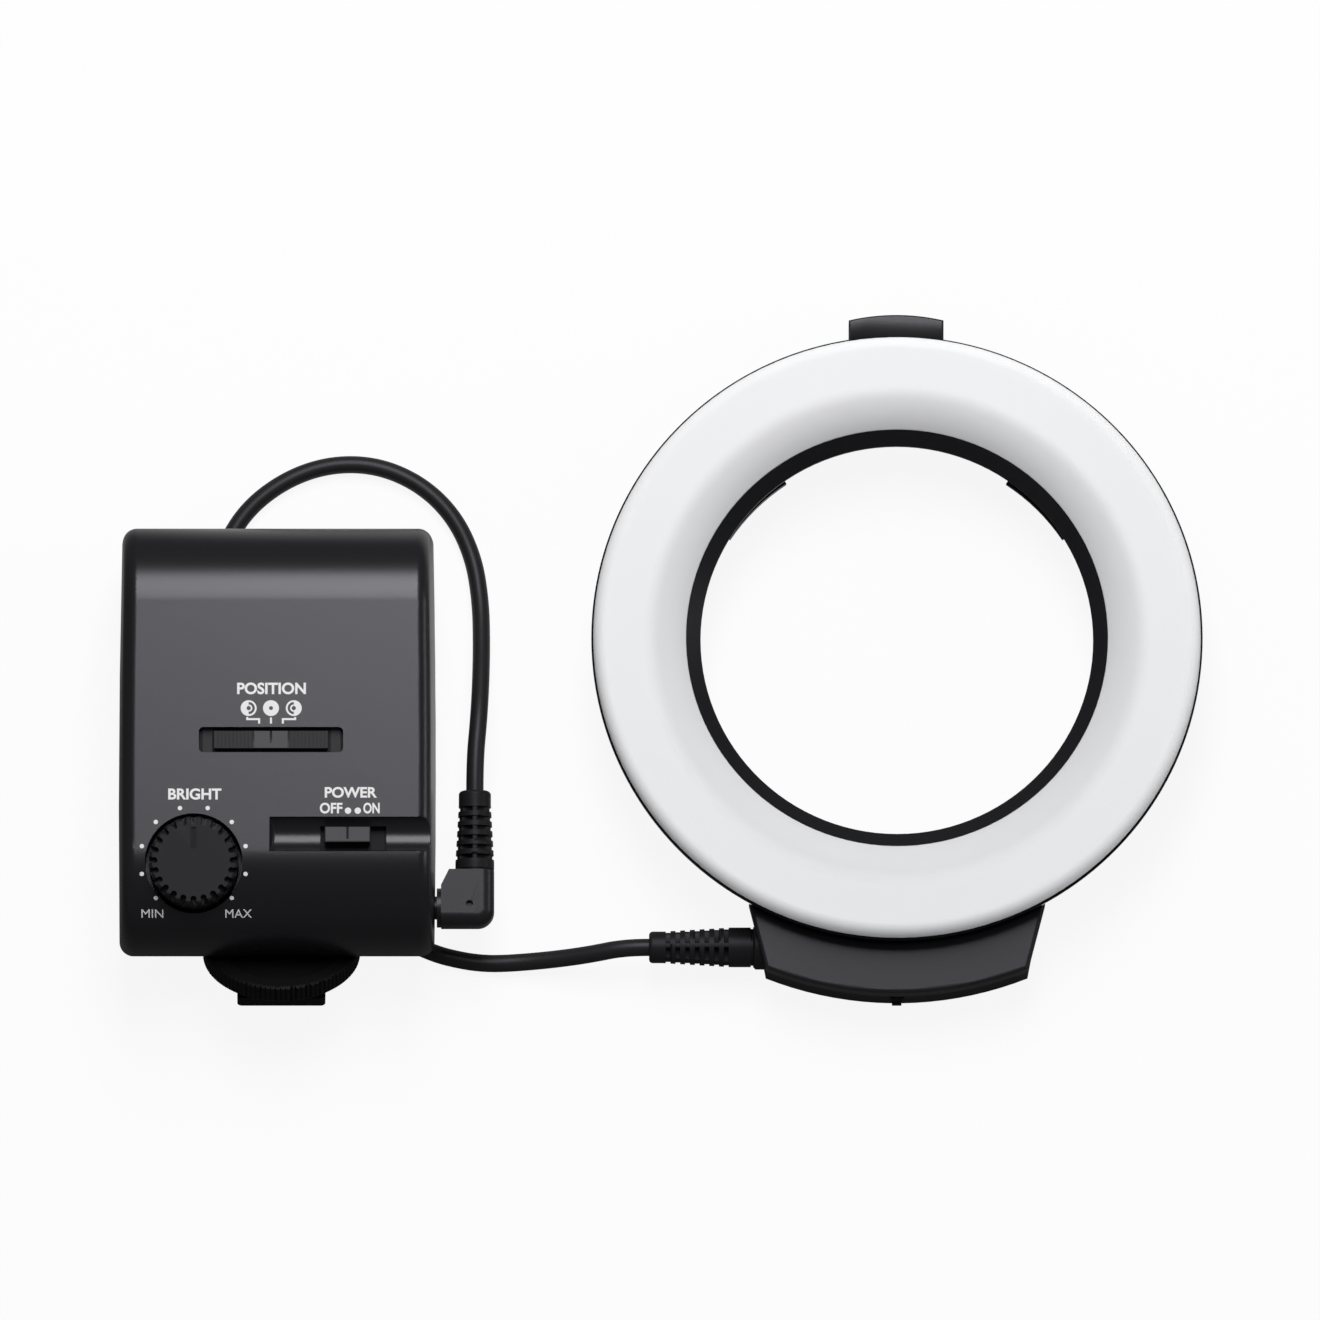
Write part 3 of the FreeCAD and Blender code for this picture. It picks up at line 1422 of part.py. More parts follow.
def power_jack():
    """Jack in the side wall: a body inside and a barrel through the wall, bored for the pin."""
    piece = Piece("power_jack", mm.case_x, mm.jack_y, mm.jack_height)
    inner = mm.cavity_half - 0.1
    piece.turn("XY", "X", [
        (inner - mm.jack_long, 0),
        (inner - mm.jack_long, mm.jack_radius),
        (inner, mm.jack_radius),
        (inner, mm.jack_barrel),
        (jack_face, mm.jack_barrel),
        (jack_face, mm.pin_radius + mm.thread_gap),
        (inner - mm.jack_long + 1.5, mm.pin_radius + mm.thread_gap),
        (inner - mm.jack_long + 1.5, 0),
    ])
    return piece


def plug_pin():
    """Metal pin of the plug, seated in the jack."""
    piece = Piece("plug_pin", mm.case_x, mm.jack_y, mm.jack_height)
    tip = jack_face - mm.pin_long
    piece.turn("XY", "X", [
        (tip, 0),
        (tip + 0.8, mm.pin_radius),
        (jack_face + 0.2, mm.pin_radius),
        (jack_face + 0.2, 0),
    ])
    return piece


neck_start = mm.waist_half + mm.neck_gap
neck_end = neck_start + mm.neck_long


def plug_body():
    """Right-angled moulded plug: a neck against the case and a block rounded on its far sides."""
    piece = Piece("plug_body", mm.case_x, 0, mm.jack_height)
    left = neck_end
    right = neck_end + mm.plug_wide
    half = mm.plug_half_thick
    piece.pad("XY", -half, half, [
        (left, mm.plug_bottom),
        (right - mm.plug_sweep, mm.plug_bottom),
        Arc(right, mm.plug_bottom + mm.plug_sweep, mm.plug_sweep, "right"),
        (right, mm.plug_top),
        (left + mm.plug_corner, mm.plug_top),
        (left, mm.plug_top - mm.plug_corner_rise),
    ])
    face = mm.plug_half_thick.value
    right_side = right.value - 3
    bottom = mm.plug_bottom.value + 0.5
    piece.dress("Fillet", piece.edges(
        lambda middle, edge: abs(middle.z) > face - 0.01 and (middle.x > right_side or middle.y < bottom)),
        mm.plug_round)
    piece.pad("YZ", jack_face + 0.2, left, Circle(mm.jack_y, 0, mm.pin_radius + 1.2))
    piece.pad("YZ", neck_start, left, Circle(mm.jack_y, 0, mm.neck_radius))
    piece.cut("XY", half - 1.5, half, Circle(left + mm.plug_hole_x, mm.jack_y + 0.3, mm.plug_hole))
    return piece


cell_height = mm.back_height + mm.case_wall + mm.cell_radius + mm.cell_gap


def cell(name, turned, y):
    """Dry cell: a can with its pole at one end."""
    start = mm.cell_long / 2
    piece = Piece(name, mm.case_x, y, cell_height,
                  axis=(0, 0, 1), angle=180 if turned else 0)
    piece.turn("XY", "X", [
        (-start, 0),
        (-start, mm.cell_radius - mm.cell_edge),
        (-start + mm.cell_edge, mm.cell_radius),
        (start - mm.cell_edge, mm.cell_radius),
        (start, mm.cell_radius - mm.cell_edge),
        (start, mm.cell_pole),
        (start + mm.cell_pole_long, mm.cell_pole),
        (start + mm.cell_pole_long, 0),
    ])
    return piece


def upper_battery():
    return cell("upper_battery", False, mm.bay_y + mm.cell_pitch / 2)


def lower_battery():
    return cell("lower_battery", True, mm.bay_y - mm.cell_pitch / 2)


def battery_contacts():
    """Spring-metal contacts at the cells' ends: flat tabs, and bowed leaves at the other poles."""
    piece = Piece("battery_contacts", mm.case_x, 0, cell_height)
    wall = mm.cavity_half - 0.1
    half = mm.contact_half
    pole = mm.cell_long / 2 + mm.cell_pole_long
    for side, y in ((1, mm.bay_y + mm.cell_pitch / 2), (-1, mm.bay_y - mm.cell_pitch / 2)):
        # plate at the pole end
        low, high = (wall - mm.contact_sheet, wall) if side > 0 else (-wall, -wall + mm.contact_sheet)
        piece.pad("YZ", low, high, rectangle(y - half, -half, y + half, half))
        near, far = (pole, wall - mm.contact_sheet) if side > 0 else (-wall + mm.contact_sheet, -pole)
        piece.pad("YZ", near, far, Circle(y, 0, 2.2))
        # leaf at the can's flat end
        low, high = (-wall, -wall + mm.contact_sheet) if side > 0 else (wall - mm.contact_sheet, wall)
        piece.pad("YZ", low, high, rectangle(y - half, -half, y + half, half))
        flat = mm.cell_long / 2
        near, far = (-wall + mm.contact_sheet, -flat) if side > 0 else (flat, wall - mm.contact_sheet)
        piece.pad("YZ", near, far, *[
            rectangle(y - mm.leaf_half, low, y + mm.leaf_half, low + mm.leaf_wide)
            for low in (mm.leaf_half - mm.contact_half, mm.contact_half - mm.leaf_half - mm.leaf_wide)])
    return piece


def battery_door():
    """Sliding battery door: ribbed plate with a tongue along each side."""
    piece = Piece("battery_door", mm.case_x, 0, mm.back_height)
    left = -(mm.back_half - mm.case_edge)
    right = mm.door_long - mm.waist_half - mm.door_gap
    half = mm.door_half - mm.door_gap
    rise = mm.case_edge - mm.door_thick
    end = left - root(mm.case_edge * mm.case_edge - rise * rise)
    piece.pad("XZ", mm.bay_y - half, mm.bay_y + half, [
        (left, 0),
        (right, 0),
        (right, mm.door_thick),
        (end, mm.door_thick),
        Arc(left, 0, mm.case_edge, "right"),
    ])
    piece.pad("XY", mm.case_wall - 1.2 + 0.2, mm.door_thick, rectangle(
        end + mm.door_tongue / 2, mm.bay_y - half - mm.door_tongue, right, mm.bay_y + half + mm.door_tongue))
    groove = piece.cut("XY", 0, 0.4, rectangle(left + 4, mm.bay_y - 7, left + 4.9, mm.bay_y + 7))
    piece.row([groove], "X", mm.grip_pitch * 5, 6)
    return piece


def shell_screws():
    """Four like screws that close the controller's shells."""
    piece = Piece("shell_screws", mm.case_x)
    head_low = mm.back_height + mm.screw_sink
    head_high = head_low + mm.screw_head_thick
    places = top_posts() + low_posts()
    piece.pad("XY", head_low, head_high, *[Circle(x, y, mm.screw_head) for x, y in places])
    piece.pad("XY", head_high, mm.part_height + 7, *[Circle(x, y, mm.screw_shank) for x, y in top_posts()])
    piece.pad("XY", head_high, front_post_top + 6, *[Circle(x, y, mm.screw_shank) for x, y in low_posts()])
    piece.cut("XY", head_low, head_low + mm.drive_deep, *[drive(x, y) for x, y in places])
    return piece


def foot_piece(name):
    """A piece in the foot's own frame: its Z runs up the foot's axis into the case."""
    return Piece(name, mm.case_x + mm.foot_x, foot_y, foot_height, axis=(-1, 0, 0), angle=mm.foot_tilt)


shoe_top = -(wheel_low + mm.shoe_gap)


def foot_stem():
    """Threaded stem of the foot, with a flange inside the case."""
    piece = foot_piece("foot_stem")
    piece.turn("XZ", "Z", [
        (0, shoe_top),
        (mm.stem_radius, shoe_top),
        (mm.stem_radius, mm.case_wall),
        (mm.stem_flange, mm.case_wall),
        (mm.stem_flange, mm.case_wall + mm.stem_flange_thick),
        (0, mm.case_wall + mm.stem_flange_thick),
    ])
    piece.cut("XY", shoe_top, shoe_top + 6, Circle(0, 0, screw_thread))
    return piece


def lock_wheel():
    """Knurled lock wheel, threaded on the stem, dished on both faces."""
    piece = foot_piece("lock_wheel")
    high = -mm.wheel_gap
    low = -wheel_low
    hub = mm.stem_radius + mm.thread_gap
    piece.turn("XZ", "Z", [
        (hub, low),
        (mm.wheel_radius - 0.5, low),
        (mm.wheel_radius, low + 0.5),
        (mm.wheel_radius, high - 0.5),
        (mm.wheel_radius - 0.5, high),
        (mm.wheel_radius - 3, high),
        (mm.wheel_radius - 4, high - mm.wheel_dish),
        (hub + 2, high - mm.wheel_dish),
        (hub + 2, high),
        (hub, high),
    ])
    half = mm.wheel_knurl * 0.6
    tooth = piece.cut("XY", low - 1, high + 1, [
        (mm.wheel_radius - mm.wheel_knurl, 0),
        (mm.wheel_radius + 0.2, -half),
        (mm.wheel_radius + 0.2, half),
    ])
    piece.polar([tooth], WHEEL_TEETH)
    return piece


def clamp_plate():
    """Plate that the wheel presses against the rails of an accessory shoe."""
    piece = foot_piece("clamp_plate")
    high = -(wheel_low + mm.clamp_gap)
    half = mm.clamp_half
    piece.pad("XY", high - mm.clamp_thick, high, rounded(-half, -half, half, half, 1.5))
    piece.cut("XY", high - mm.clamp_thick, high, Circle(0, 0, mm.stem_radius + mm.thread_gap))
    return piece


def shoe_foot():
    """Square foot plate that slides into the camera's accessory shoe."""
    piece = foot_piece("shoe_foot")
    half = mm.shoe_half
    low = shoe_top - mm.shoe_thick
    piece.pad("XY", low, shoe_top, rounded(-half, -half, half, half, mm.shoe_corner))
    piece.cut("XY", low, shoe_top, Circle(0, 0, screw_hole))
    piece.cut("XY", low, low + mm.screw_head_thick, Circle(0, 0, screw_recess))
    return piece


def foot_screw():
    """Screw that holds the foot plate to the stem."""
    piece = foot_piece("foot_screw")
    low = shoe_top - mm.shoe_thick
    piece.pad("XY", low + 0.1, low + mm.screw_head_thick, Circle(0, 0, mm.screw_head))
    piece.pad("XY", low + mm.screw_head_thick, shoe_top + 5, Circle(0, 0, mm.screw_shank))
    piece.cut("XY", low, low + 0.1 + mm.drive_deep, drive(0, 0))
    return piece


def cord():
    """The one cord, from the ring's base round under the controller to the plug."""
    low = mm.cord_radius.value + 0.05
    exit_x = (mm.collar_front - strain_length(mm.head_relief_plain, HEAD_RIBS)).value
    top_y = (mm.plug_top + strain_length(mm.plug_relief_plain, PLUG_RIBS)).value
    exit_y, exit_z = relief_y.value, mm.relief_height.value
    plug_x, plug_z = mm.cord_x.value, mm.jack_height.value
    route = [
        (exit_x, exit_y, exit_z),
        (-57.5, exit_y, exit_z),
        (-64.87, -65.41, 6.0),
        (-71.2, -66.04, 4.1),
        (-77.55, -66.46, 2.5),
        (-83.9, -66.8, low),
        (-88.1, -66.69, low),
        (-92.34, -66.07, low),
        (-98.2, -64.6, low),
        (-107.9, -59.9, low),
        (-117.8, -53.1, low),
        (-127.0, -44.2, low),
        (-134.8, -34.0, low),
        (-141.0, -22.5, low),
        (-144.8, -10.5, low),
        (-146.4, 1.5, low),
        (-145.6, 12.8, low),
        (-142.6, 22.6, low),
        (-137.6, 30.9, low),
        (-129.3, 37.2, low),
        (-119.9, 40.4, low),
        (-109.9, 40.1, low),
        (-100.7, 36.0, low),
        (-93.75, 29.15, low),
        (-89.6, 20.2, low),
        (-88.1, 10.4, 3.6),
        (-87.87, 1.0, 7.4),
        (-88.0, -8.0, 12.0),
        (-88.4, -16.6, 16.0),
        (plug_x, -25.4, plug_z),
        (plug_x, top_y, plug_z),
    ]
    return tube("cord", route, mm.cord_radius.value)


def strain_length(plain, grooves):
    return plain + mm.rib_pitch * grooves + mm.relief_end


def tube(name, route, radius):
    """A tube along straight runs joined by tangent arcs."""
    points = [FreeCAD.Vector(*point) for point in route]
    edges = []
    radii = []
    start = points[0]
    for before, corner, after in zip(points, points[1:], points[2:]):
        into = (corner - before).normalize()
        out = (after - corner).normalize()
        turn = into.getAngle(out)
        reach = 0.45 * min((corner - before).Length, (after - corner).Length)
        radii.append(reach / math.tan(turn / 2))
        first = corner - into * reach
        last = corner + out * reach
        inward = (out - into).normalize()
        centre_reach = radii[-1] / math.cos(turn / 2)
        middle = corner + inward * (centre_reach - radii[-1])
        edges.append(Part.LineSegment(start, first).toShape())
        edges.append(Part.Arc(first, middle, last).toShape())
        start = last
    edges.append(Part.LineSegment(start, points[-1]).toShape())
    wire = Part.Wire(edges)
    ring = Part.Wire(Part.Circle(points[0], points[1] - points[0], radius).toShape())
    solid = wire.makePipeShell([ring], True, False)
    expected = math.pi * radius * radius * wire.Length
    print(name, "length %.1f, radii %.1f to %.1f, volume over section times length %.4f"
          % (wire.Length, min(radii), max(radii), solid.Volume / expected))
    feature = document.addObject("Part::Feature", name)
    feature.Label = name
    feature.Shape = solid
    return feature


PIECES = [
    ring_rear_shell, inner_bezel, diffuser, reflector, led_board, leds, board_screws, latch_frame,
    release_button, release_spring, base_front_cover, rear_screws, terminal_board, head_ribbon,
    cable_collar, head_strain_relief, cord, plug_strain_relief, plug_body, plug_pin, power_jack,
    controller_front_shell, controller_rear_shell, control_board, driver_coil, capacitors, driver_chip,
    brightness_potentiometer, dial_shaft, brightness_dial, position_slot_plate, position_slider,
    position_switch, position_switch_lever, power_slot_plate, power_slider, power_switch,
    power_switch_lever, upper_battery, lower_battery, battery_contacts, battery_door, shell_screws,
    foot_stem, lock_wheel, clamp_plate, shoe_foot, foot_screw,
]


def write_parts():
    """Builds every piece, checks it and writes it to its own file."""
    for make in PIECES:
        make()
    document.recompute()
    for item in document.Objects:
        if "Invalid" in item.State or "Error" in item.State:
            raise RuntimeError(item.Label + " failed: " + ", ".join(item.State))
    os.makedirs("parts", exist_ok=True)
    for item in document.Objects:
        if item.TypeId in ("PartDesign::Body", "Part::Feature"):
            check_cuts(item)
            shape = item.Shape
            if shape.isNull() or not shape.isValid():
                raise RuntimeError(item.Label + " has no valid shape")
            shape.exportStep("parts/" + item.Label + ".step")


def check_cuts(item):
    """Every pocket and groove has to take material away."""
    if item.TypeId != "PartDesign::Body":
        return
    for feature in item.Group:
        if feature.TypeId in ("PartDesign::Pocket", "PartDesign::Groove"):
            before = feature.BaseFeature.Shape.Volume
            if feature.Shape.Volume > before - 1e-6:
                raise RuntimeError(feature.Name + " cuts nothing")


if __name__ == "__main__":
    write_parts()
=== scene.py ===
import bmesh
import bpy
import math
from mathutils import Matrix, Vector


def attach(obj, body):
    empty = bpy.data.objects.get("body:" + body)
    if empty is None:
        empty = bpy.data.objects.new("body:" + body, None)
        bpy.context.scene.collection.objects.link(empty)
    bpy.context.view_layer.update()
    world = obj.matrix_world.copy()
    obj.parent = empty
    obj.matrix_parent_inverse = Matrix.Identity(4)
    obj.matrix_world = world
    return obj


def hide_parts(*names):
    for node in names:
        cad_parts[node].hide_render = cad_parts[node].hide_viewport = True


# Macro ring light: a ring with a milky diffuser that fits round a lens, a battery controller
# for the camera's accessory shoe, and the cord between them. Both units lie on their backs.
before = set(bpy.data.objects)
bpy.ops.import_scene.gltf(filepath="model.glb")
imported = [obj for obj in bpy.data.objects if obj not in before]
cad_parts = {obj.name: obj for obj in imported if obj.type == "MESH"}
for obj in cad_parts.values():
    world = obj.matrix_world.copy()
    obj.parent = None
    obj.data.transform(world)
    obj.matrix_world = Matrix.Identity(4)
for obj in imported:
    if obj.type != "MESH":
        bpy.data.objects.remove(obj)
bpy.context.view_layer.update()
scene = bpy.context.scene
scene.view_settings.view_transform = "Standard"
MM = 0.001

# View, table and lamps
# The photograph looks down on both units through a long lens, tipped nine degrees towards
# their feet. A big soft box hangs above them on the side of the ring's release button, and
# the table and the room are white to the camera, and dimmer to the shiny surfaces.
VIEW_TIP = math.radians(9)
VIEW_DISTANCE = 6000
VIEW_LENS = 774.4
VIEW_CENTRE = Vector((-50.08, -4.81, 21.5))
camera = bpy.data.objects.new("camera", bpy.data.cameras.new("camera"))
camera.data.lens = VIEW_LENS
view_line = Vector((0, -math.sin(VIEW_TIP), math.cos(VIEW_TIP)))
camera.location = (VIEW_CENTRE + VIEW_DISTANCE * view_line) * MM
camera.rotation_euler = (VIEW_TIP, 0, 0)
scene.collection.objects.link(camera)
scene.camera = camera

SHINY_LEVEL = 0.16
ROOM_SHARE = 0.8
ROOM_STRENGTH = 0.17
TABLE_SHARE = 0.9
TABLE_HALF = 3
TABLE_TOP = -0.05
# Shiny surfaces see the table's glow as a painted pool of light: bright within 60 mm of a point by the
# controller's crown and dim beyond 100 mm, which gives the case a painted reflection.
PAINTED_POOL_MIDDLE = (-85, 30, 0)
PAINTED_POOL_NEAR = 60
PAINTED_POOL_FAR = 100
PAINTED_POOL_BRIGHT = 0.6
PAINTED_POOL_DIM = 0.04


def white_to_camera(nodes, links, shader, share, dimming=None):
    """Mixes a share of white glow into a shader for the rays from the camera or a shiny surface.
    Shiny surfaces see it dimmer, as the photograph's blacks stay black, by a level or a socket."""
    path = nodes.new("ShaderNodeLightPath")
    shiny = nodes.new("ShaderNodeMath")
    shiny.operation = "ADD"
    links.new(path.outputs["Is Glossy Ray"], shiny.inputs[0])
    links.new(path.outputs["Is Transmission Ray"], shiny.inputs[1])
    seen = nodes.new("ShaderNodeMath")
    seen.operation = "MAXIMUM"
    links.new(path.outputs["Is Camera Ray"], seen.inputs[0])
    links.new(shiny.outputs[0], seen.inputs[1])
    level = nodes.new("ShaderNodeMath")
    level.operation = "MULTIPLY_ADD"
    level.inputs[1].default_value = SHINY_LEVEL - 1
    level.inputs[2].default_value = 1
    links.new(path.outputs["Is Glossy Ray"], level.inputs[0])
    if dimming:
        links.new(dimming, level.inputs[1])
    amount = nodes.new("ShaderNodeMath")
    amount.operation = "MULTIPLY"
    amount.inputs[1].default_value = share
    links.new(seen.outputs[0], amount.inputs[0])
    glow = nodes.new("ShaderNodeBackground" if shader.type == "BACKGROUND" else "ShaderNodeEmission")
    glow.inputs["Color"].default_value = (1, 1, 1, 1)
    links.new(level.outputs[0], glow.inputs["Strength"])
    mix = nodes.new("ShaderNodeMixShader")
    links.new(amount.outputs[0], mix.inputs[0])
    links.new(shader.outputs[0], mix.inputs[1])
    links.new(glow.outputs[0], mix.inputs[2])
    return mix


table_shape = bmesh.new()
bmesh.ops.create_grid(table_shape, x_segments=1, y_segments=1, size=TABLE_HALF)
bmesh.ops.translate(table_shape, verts=table_shape.verts, vec=(0, 0, TABLE_TOP * MM))
table_mesh = bpy.data.meshes.new("table")
table_shape.to_mesh(table_mesh)
table_shape.free()
table = bpy.data.objects.new("table", table_mesh)
scene.collection.objects.link(table)
table_finish = bpy.data.materials.new("white_table")
table_finish.use_nodes = True
table_nodes = table_finish.node_tree.nodes
table_links = table_finish.node_tree.links
table_shader = table_nodes["Principled BSDF"]
table_shader.inputs["Base Color"].default_value = (0.86, 0.86, 0.86, 1)
table_shader.inputs["Roughness"].default_value = 0.9
table_shader.inputs["Specular IOR Level"].default_value = 0.1
# Painted pool of light on the table, seen only by shiny surfaces, as a painted reflection in the case.
table_place = table_nodes.new("ShaderNodeTexCoord")
painted_pool_reach = table_nodes.new("ShaderNodeVectorMath")
painted_pool_reach.operation = "DISTANCE"
painted_pool_reach.inputs[1].default_value = Vector(PAINTED_POOL_MIDDLE) * MM
table_links.new(table_place.outputs["Object"], painted_pool_reach.inputs[0])
painted_light_pool = table_nodes.new("ShaderNodeMapRange")
painted_light_pool.inputs["From Min"].default_value = PAINTED_POOL_NEAR * MM
painted_light_pool.inputs["From Max"].default_value = PAINTED_POOL_FAR * MM
painted_light_pool.inputs["To Min"].default_value = PAINTED_POOL_BRIGHT - 1
painted_light_pool.inputs["To Max"].default_value = PAINTED_POOL_DIM - 1
table_links.new(painted_pool_reach.outputs["Value"], painted_light_pool.inputs["Value"])
table_mix = white_to_camera(table_nodes, table_links, table_shader, TABLE_SHARE, painted_light_pool.outputs["Result"])
table_links.new(table_mix.outputs[0], table_nodes["Material Output"].inputs["Surface"])
table_mesh.materials.append(table_finish)

world = bpy.data.worlds.new("white_room")
world.use_nodes = True
room_nodes = world.node_tree.nodes
room_links = world.node_tree.links
room = room_nodes["Background"]
room.inputs["Color"].default_value = (0.95, 0.97, 1.0, 1)
room.inputs["Strength"].default_value = ROOM_STRENGTH
room_mix = white_to_camera(room_nodes, room_links, room, ROOM_SHARE)
room_links.new(room_mix.outputs[0], room_nodes["World Output"].inputs["Surface"])
scene.world = world


def soft_box(name, place, aim, width, height, watts):
    """An area lamp at a place in metres, turned to face a point."""
    lamp = bpy.data.lights.new(name, "AREA")
    lamp.shape = "RECTANGLE"
    lamp.size = width
    lamp.size_y = height
    lamp.energy = watts
    hung = bpy.data.objects.new(name, lamp)
    hung.location = place
    hung.rotation_euler = (Vector(aim) - Vector(place)).to_track_quat("-Z", "Y").to_euler()
    scene.collection.objects.link(hung)


soft_box("key_box", place=(-0.05, 0.50, 0.978), aim=(-0.05, 0, 0.02),
         width=0.40, height=0.765, watts=11.2)
soft_box("side_box", place=(1.3, 0.1, 0.45), aim=(-0.05, 0, 0.03),
         width=0.25, height=0.5, watts=2.2)

# Cord
# One round two-core cord in a matt black rubber jacket. It leaves the ring's base, lies along the
# table under the controller, comes out past its crown, and climbs to the plug in its right side.
CORD_WIDTH = 3.7
CORD_LOW = 1.9
CORD_ROUTE = [
    (-52.4, -64.2, 8.0), (-57.5, -64.2, 8.0), (-64.87, -65.41, 6.0), (-71.2, -66.04, 4.1),
    (-77.55, -66.46, 2.5), (-83.9, -66.8, CORD_LOW), (-88.1, -66.69, CORD_LOW),
    (-92.34, -66.07, CORD_LOW), (-98.2, -64.6, CORD_LOW), (-107.9, -59.9, CORD_LOW),
    (-117.8, -53.1, CORD_LOW), (-127.0, -44.2, CORD_LOW), (-134.8, -34.0, CORD_LOW),
    (-141.0, -22.5, CORD_LOW), (-144.8, -10.5, CORD_LOW), (-146.4, 1.5, CORD_LOW),
    (-145.6, 12.8, CORD_LOW), (-142.6, 22.6, CORD_LOW), (-137.6, 30.9, CORD_LOW),
    (-129.3, 37.2, CORD_LOW), (-119.9, 40.4, CORD_LOW), (-109.9, 40.1, CORD_LOW),
    (-100.7, 36.0, CORD_LOW), (-93.75, 29.15, CORD_LOW), (-89.6, 20.2, CORD_LOW), (-88.1, 10.4, 3.6),
    (-87.87, 1.0, 7.4), (-88.0, -8.0, 12.0), (-88.4, -16.6, 16.0), (-89.2, -25.4, 17.5),
    (-89.2, -32.3, 17.5),
]
COOL_GLOSS = (0.93, 0.92, 1.0, 1)
GLOSS_SPREAD = 0.05
MERGE_GAP = 0.001
FLAT_BEND = math.radians(0.4)


def grained(name, colour, roughness, grain=0.25, depth=0.01, tone=0.08, patch=14, specular=0.12,
            metallic=0.0, stretch=(1, 1, 1)):
    """A moulded, sprayed or rolled surface: a fine grain in relief and in gloss, and faint wide patches
    of tone. The grain, its depth and the patches are in millimetres."""
    material = bpy.data.materials.new(name)
    material.use_nodes = True
    nodes = material.node_tree.nodes
    links = material.node_tree.links
    shader = nodes["Principled BSDF"]
    shader.inputs["Specular IOR Level"].default_value = specular
    shader.inputs["Specular Tint"].default_value = COOL_GLOSS
    shader.inputs["Metallic"].default_value = metallic
    place = nodes.new("ShaderNodeTexCoord")
    stretched = nodes.new("ShaderNodeMapping")
    stretched.inputs["Scale"].default_value = stretch
    links.new(place.outputs["Object"], stretched.inputs["Vector"])
    fine = nodes.new("ShaderNodeTexNoise")
    fine.inputs["Scale"].default_value = 1 / (grain * MM)
    fine.inputs["Detail"].default_value = 2
    links.new(stretched.outputs["Vector"], fine.inputs["Vector"])
    relief = nodes.new("ShaderNodeBump")
    relief.inputs["Distance"].default_value = depth * MM
    links.new(fine.outputs["Fac"], relief.inputs["Height"])
    links.new(relief.outputs["Normal"], shader.inputs["Normal"])
    wide = nodes.new("ShaderNodeTexNoise")
    wide.inputs["Scale"].default_value = 1 / (patch * MM)
    wide.inputs["Detail"].default_value = 3
    links.new(place.outputs["Object"], wide.inputs["Vector"])
    blend = nodes.new("ShaderNodeMix")
    blend.data_type = "RGBA"
    links.new(wide.outputs["Fac"], blend.inputs["Factor"])
    blend.inputs["A"].default_value = (*[level * (1 - tone) for level in colour], 1)
    blend.inputs["B"].default_value = (*[min(level * (1 + tone), 1) for level in colour], 1)
    links.new(blend.outputs["Result"], shader.inputs["Base Color"])
    gloss = nodes.new("ShaderNodeMapRange")
    gloss.inputs["To Min"].default_value = max(roughness - GLOSS_SPREAD, 0)
    gloss.inputs["To Max"].default_value = min(roughness + GLOSS_SPREAD, 1)
    links.new(fine.outputs["Fac"], gloss.inputs["Value"])
    links.new(gloss.outputs["Result"], shader.inputs["Roughness"])
    return material


def made_piece(name, shape, body, material, sharp=35):
    """Makes an object of a bmesh, evenly shaded between its sharp edges, that rides on a body."""
    mesh = bpy.data.meshes.new(name)
    shape.to_mesh(mesh)
    shape.free()
    for face in mesh.polygons:
        face.use_smooth = True
        face.material_index = 0
    mesh.set_sharp_from_angle(angle=math.radians(sharp))
    mesh.materials.append(material)
    made = bpy.data.objects.new(name, mesh)
    scene.collection.objects.link(made)
    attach(made, body)
    return made


def finished(node, name, body, material, sharp=35):
    """A merged copy of a CAD piece, its flat faces made whole and its round ones evenly shaded."""
    shape = bmesh.new()
    shape.from_mesh(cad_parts[node].data)
    bmesh.ops.remove_doubles(shape, verts=shape.verts, dist=MERGE_GAP * MM)
    bmesh.ops.dissolve_limit(shape, angle_limit=FLAT_BEND, verts=shape.verts, edges=shape.edges)
    made = made_piece(name, shape, body, material, sharp)
    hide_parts(node)
    even = made.modifiers.new("even_shading", "WEIGHTED_NORMAL")
    even.keep_sharp = True
    return made


cord_rubber = grained("cord_rubber", (0.014, 0.014, 0.015), 0.42, grain=0.12, depth=0.006, patch=9,
                      specular=0.22)
moulded_rubber = grained("moulded_rubber", (0.012, 0.012, 0.013), 0.46, grain=0.18, depth=0.008, patch=6)
pin_plating = grained("pin_plating", (0.72, 0.72, 0.73), 0.18, grain=0.3, depth=0.002, metallic=1.0)
finished("head_strain_relief", "head_relief_sleeve", "light", moulded_rubber)
plug_relief = finished("plug_strain_relief", "plug_relief_sleeve", "light",
                       moulded_rubber)
satin_rubber = grained("satin_rubber", (0.011, 0.011, 0.012), 0.36, grain=0.18, depth=0.006, patch=6,
                       specular=0.28)
plug_block = finished("plug_body", "plug_block", "light", satin_rubber)
plug_tip = finished("plug_pin", "plug_tip", "light", pin_plating)

cord_line = bpy.data.curves.new("cord_jacket", "CURVE")
cord_line.dimensions = "3D"
cord_line.bevel_depth = CORD_WIDTH / 2 * MM
cord_line.bevel_resolution = 8
cord_line.use_fill_caps = True
cord_line.resolution_u = 10
cord_spline = cord_line.splines.new("NURBS")
cord_spline.points.add(len(CORD_ROUTE) - 1)
for point, (x, y, z) in zip(cord_spline.points, CORD_ROUTE):
    point.co = (x * MM, y * MM, z * MM, 1)
cord_spline.order_u = 3
cord_spline.use_endpoint_u = True
cord_line.materials.append(cord_rubber)
cord_jacket = bpy.data.objects.new("cord_jacket", cord_line)
scene.collection.objects.link(cord_jacket)
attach(cord_jacket, "light")
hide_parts("cord")

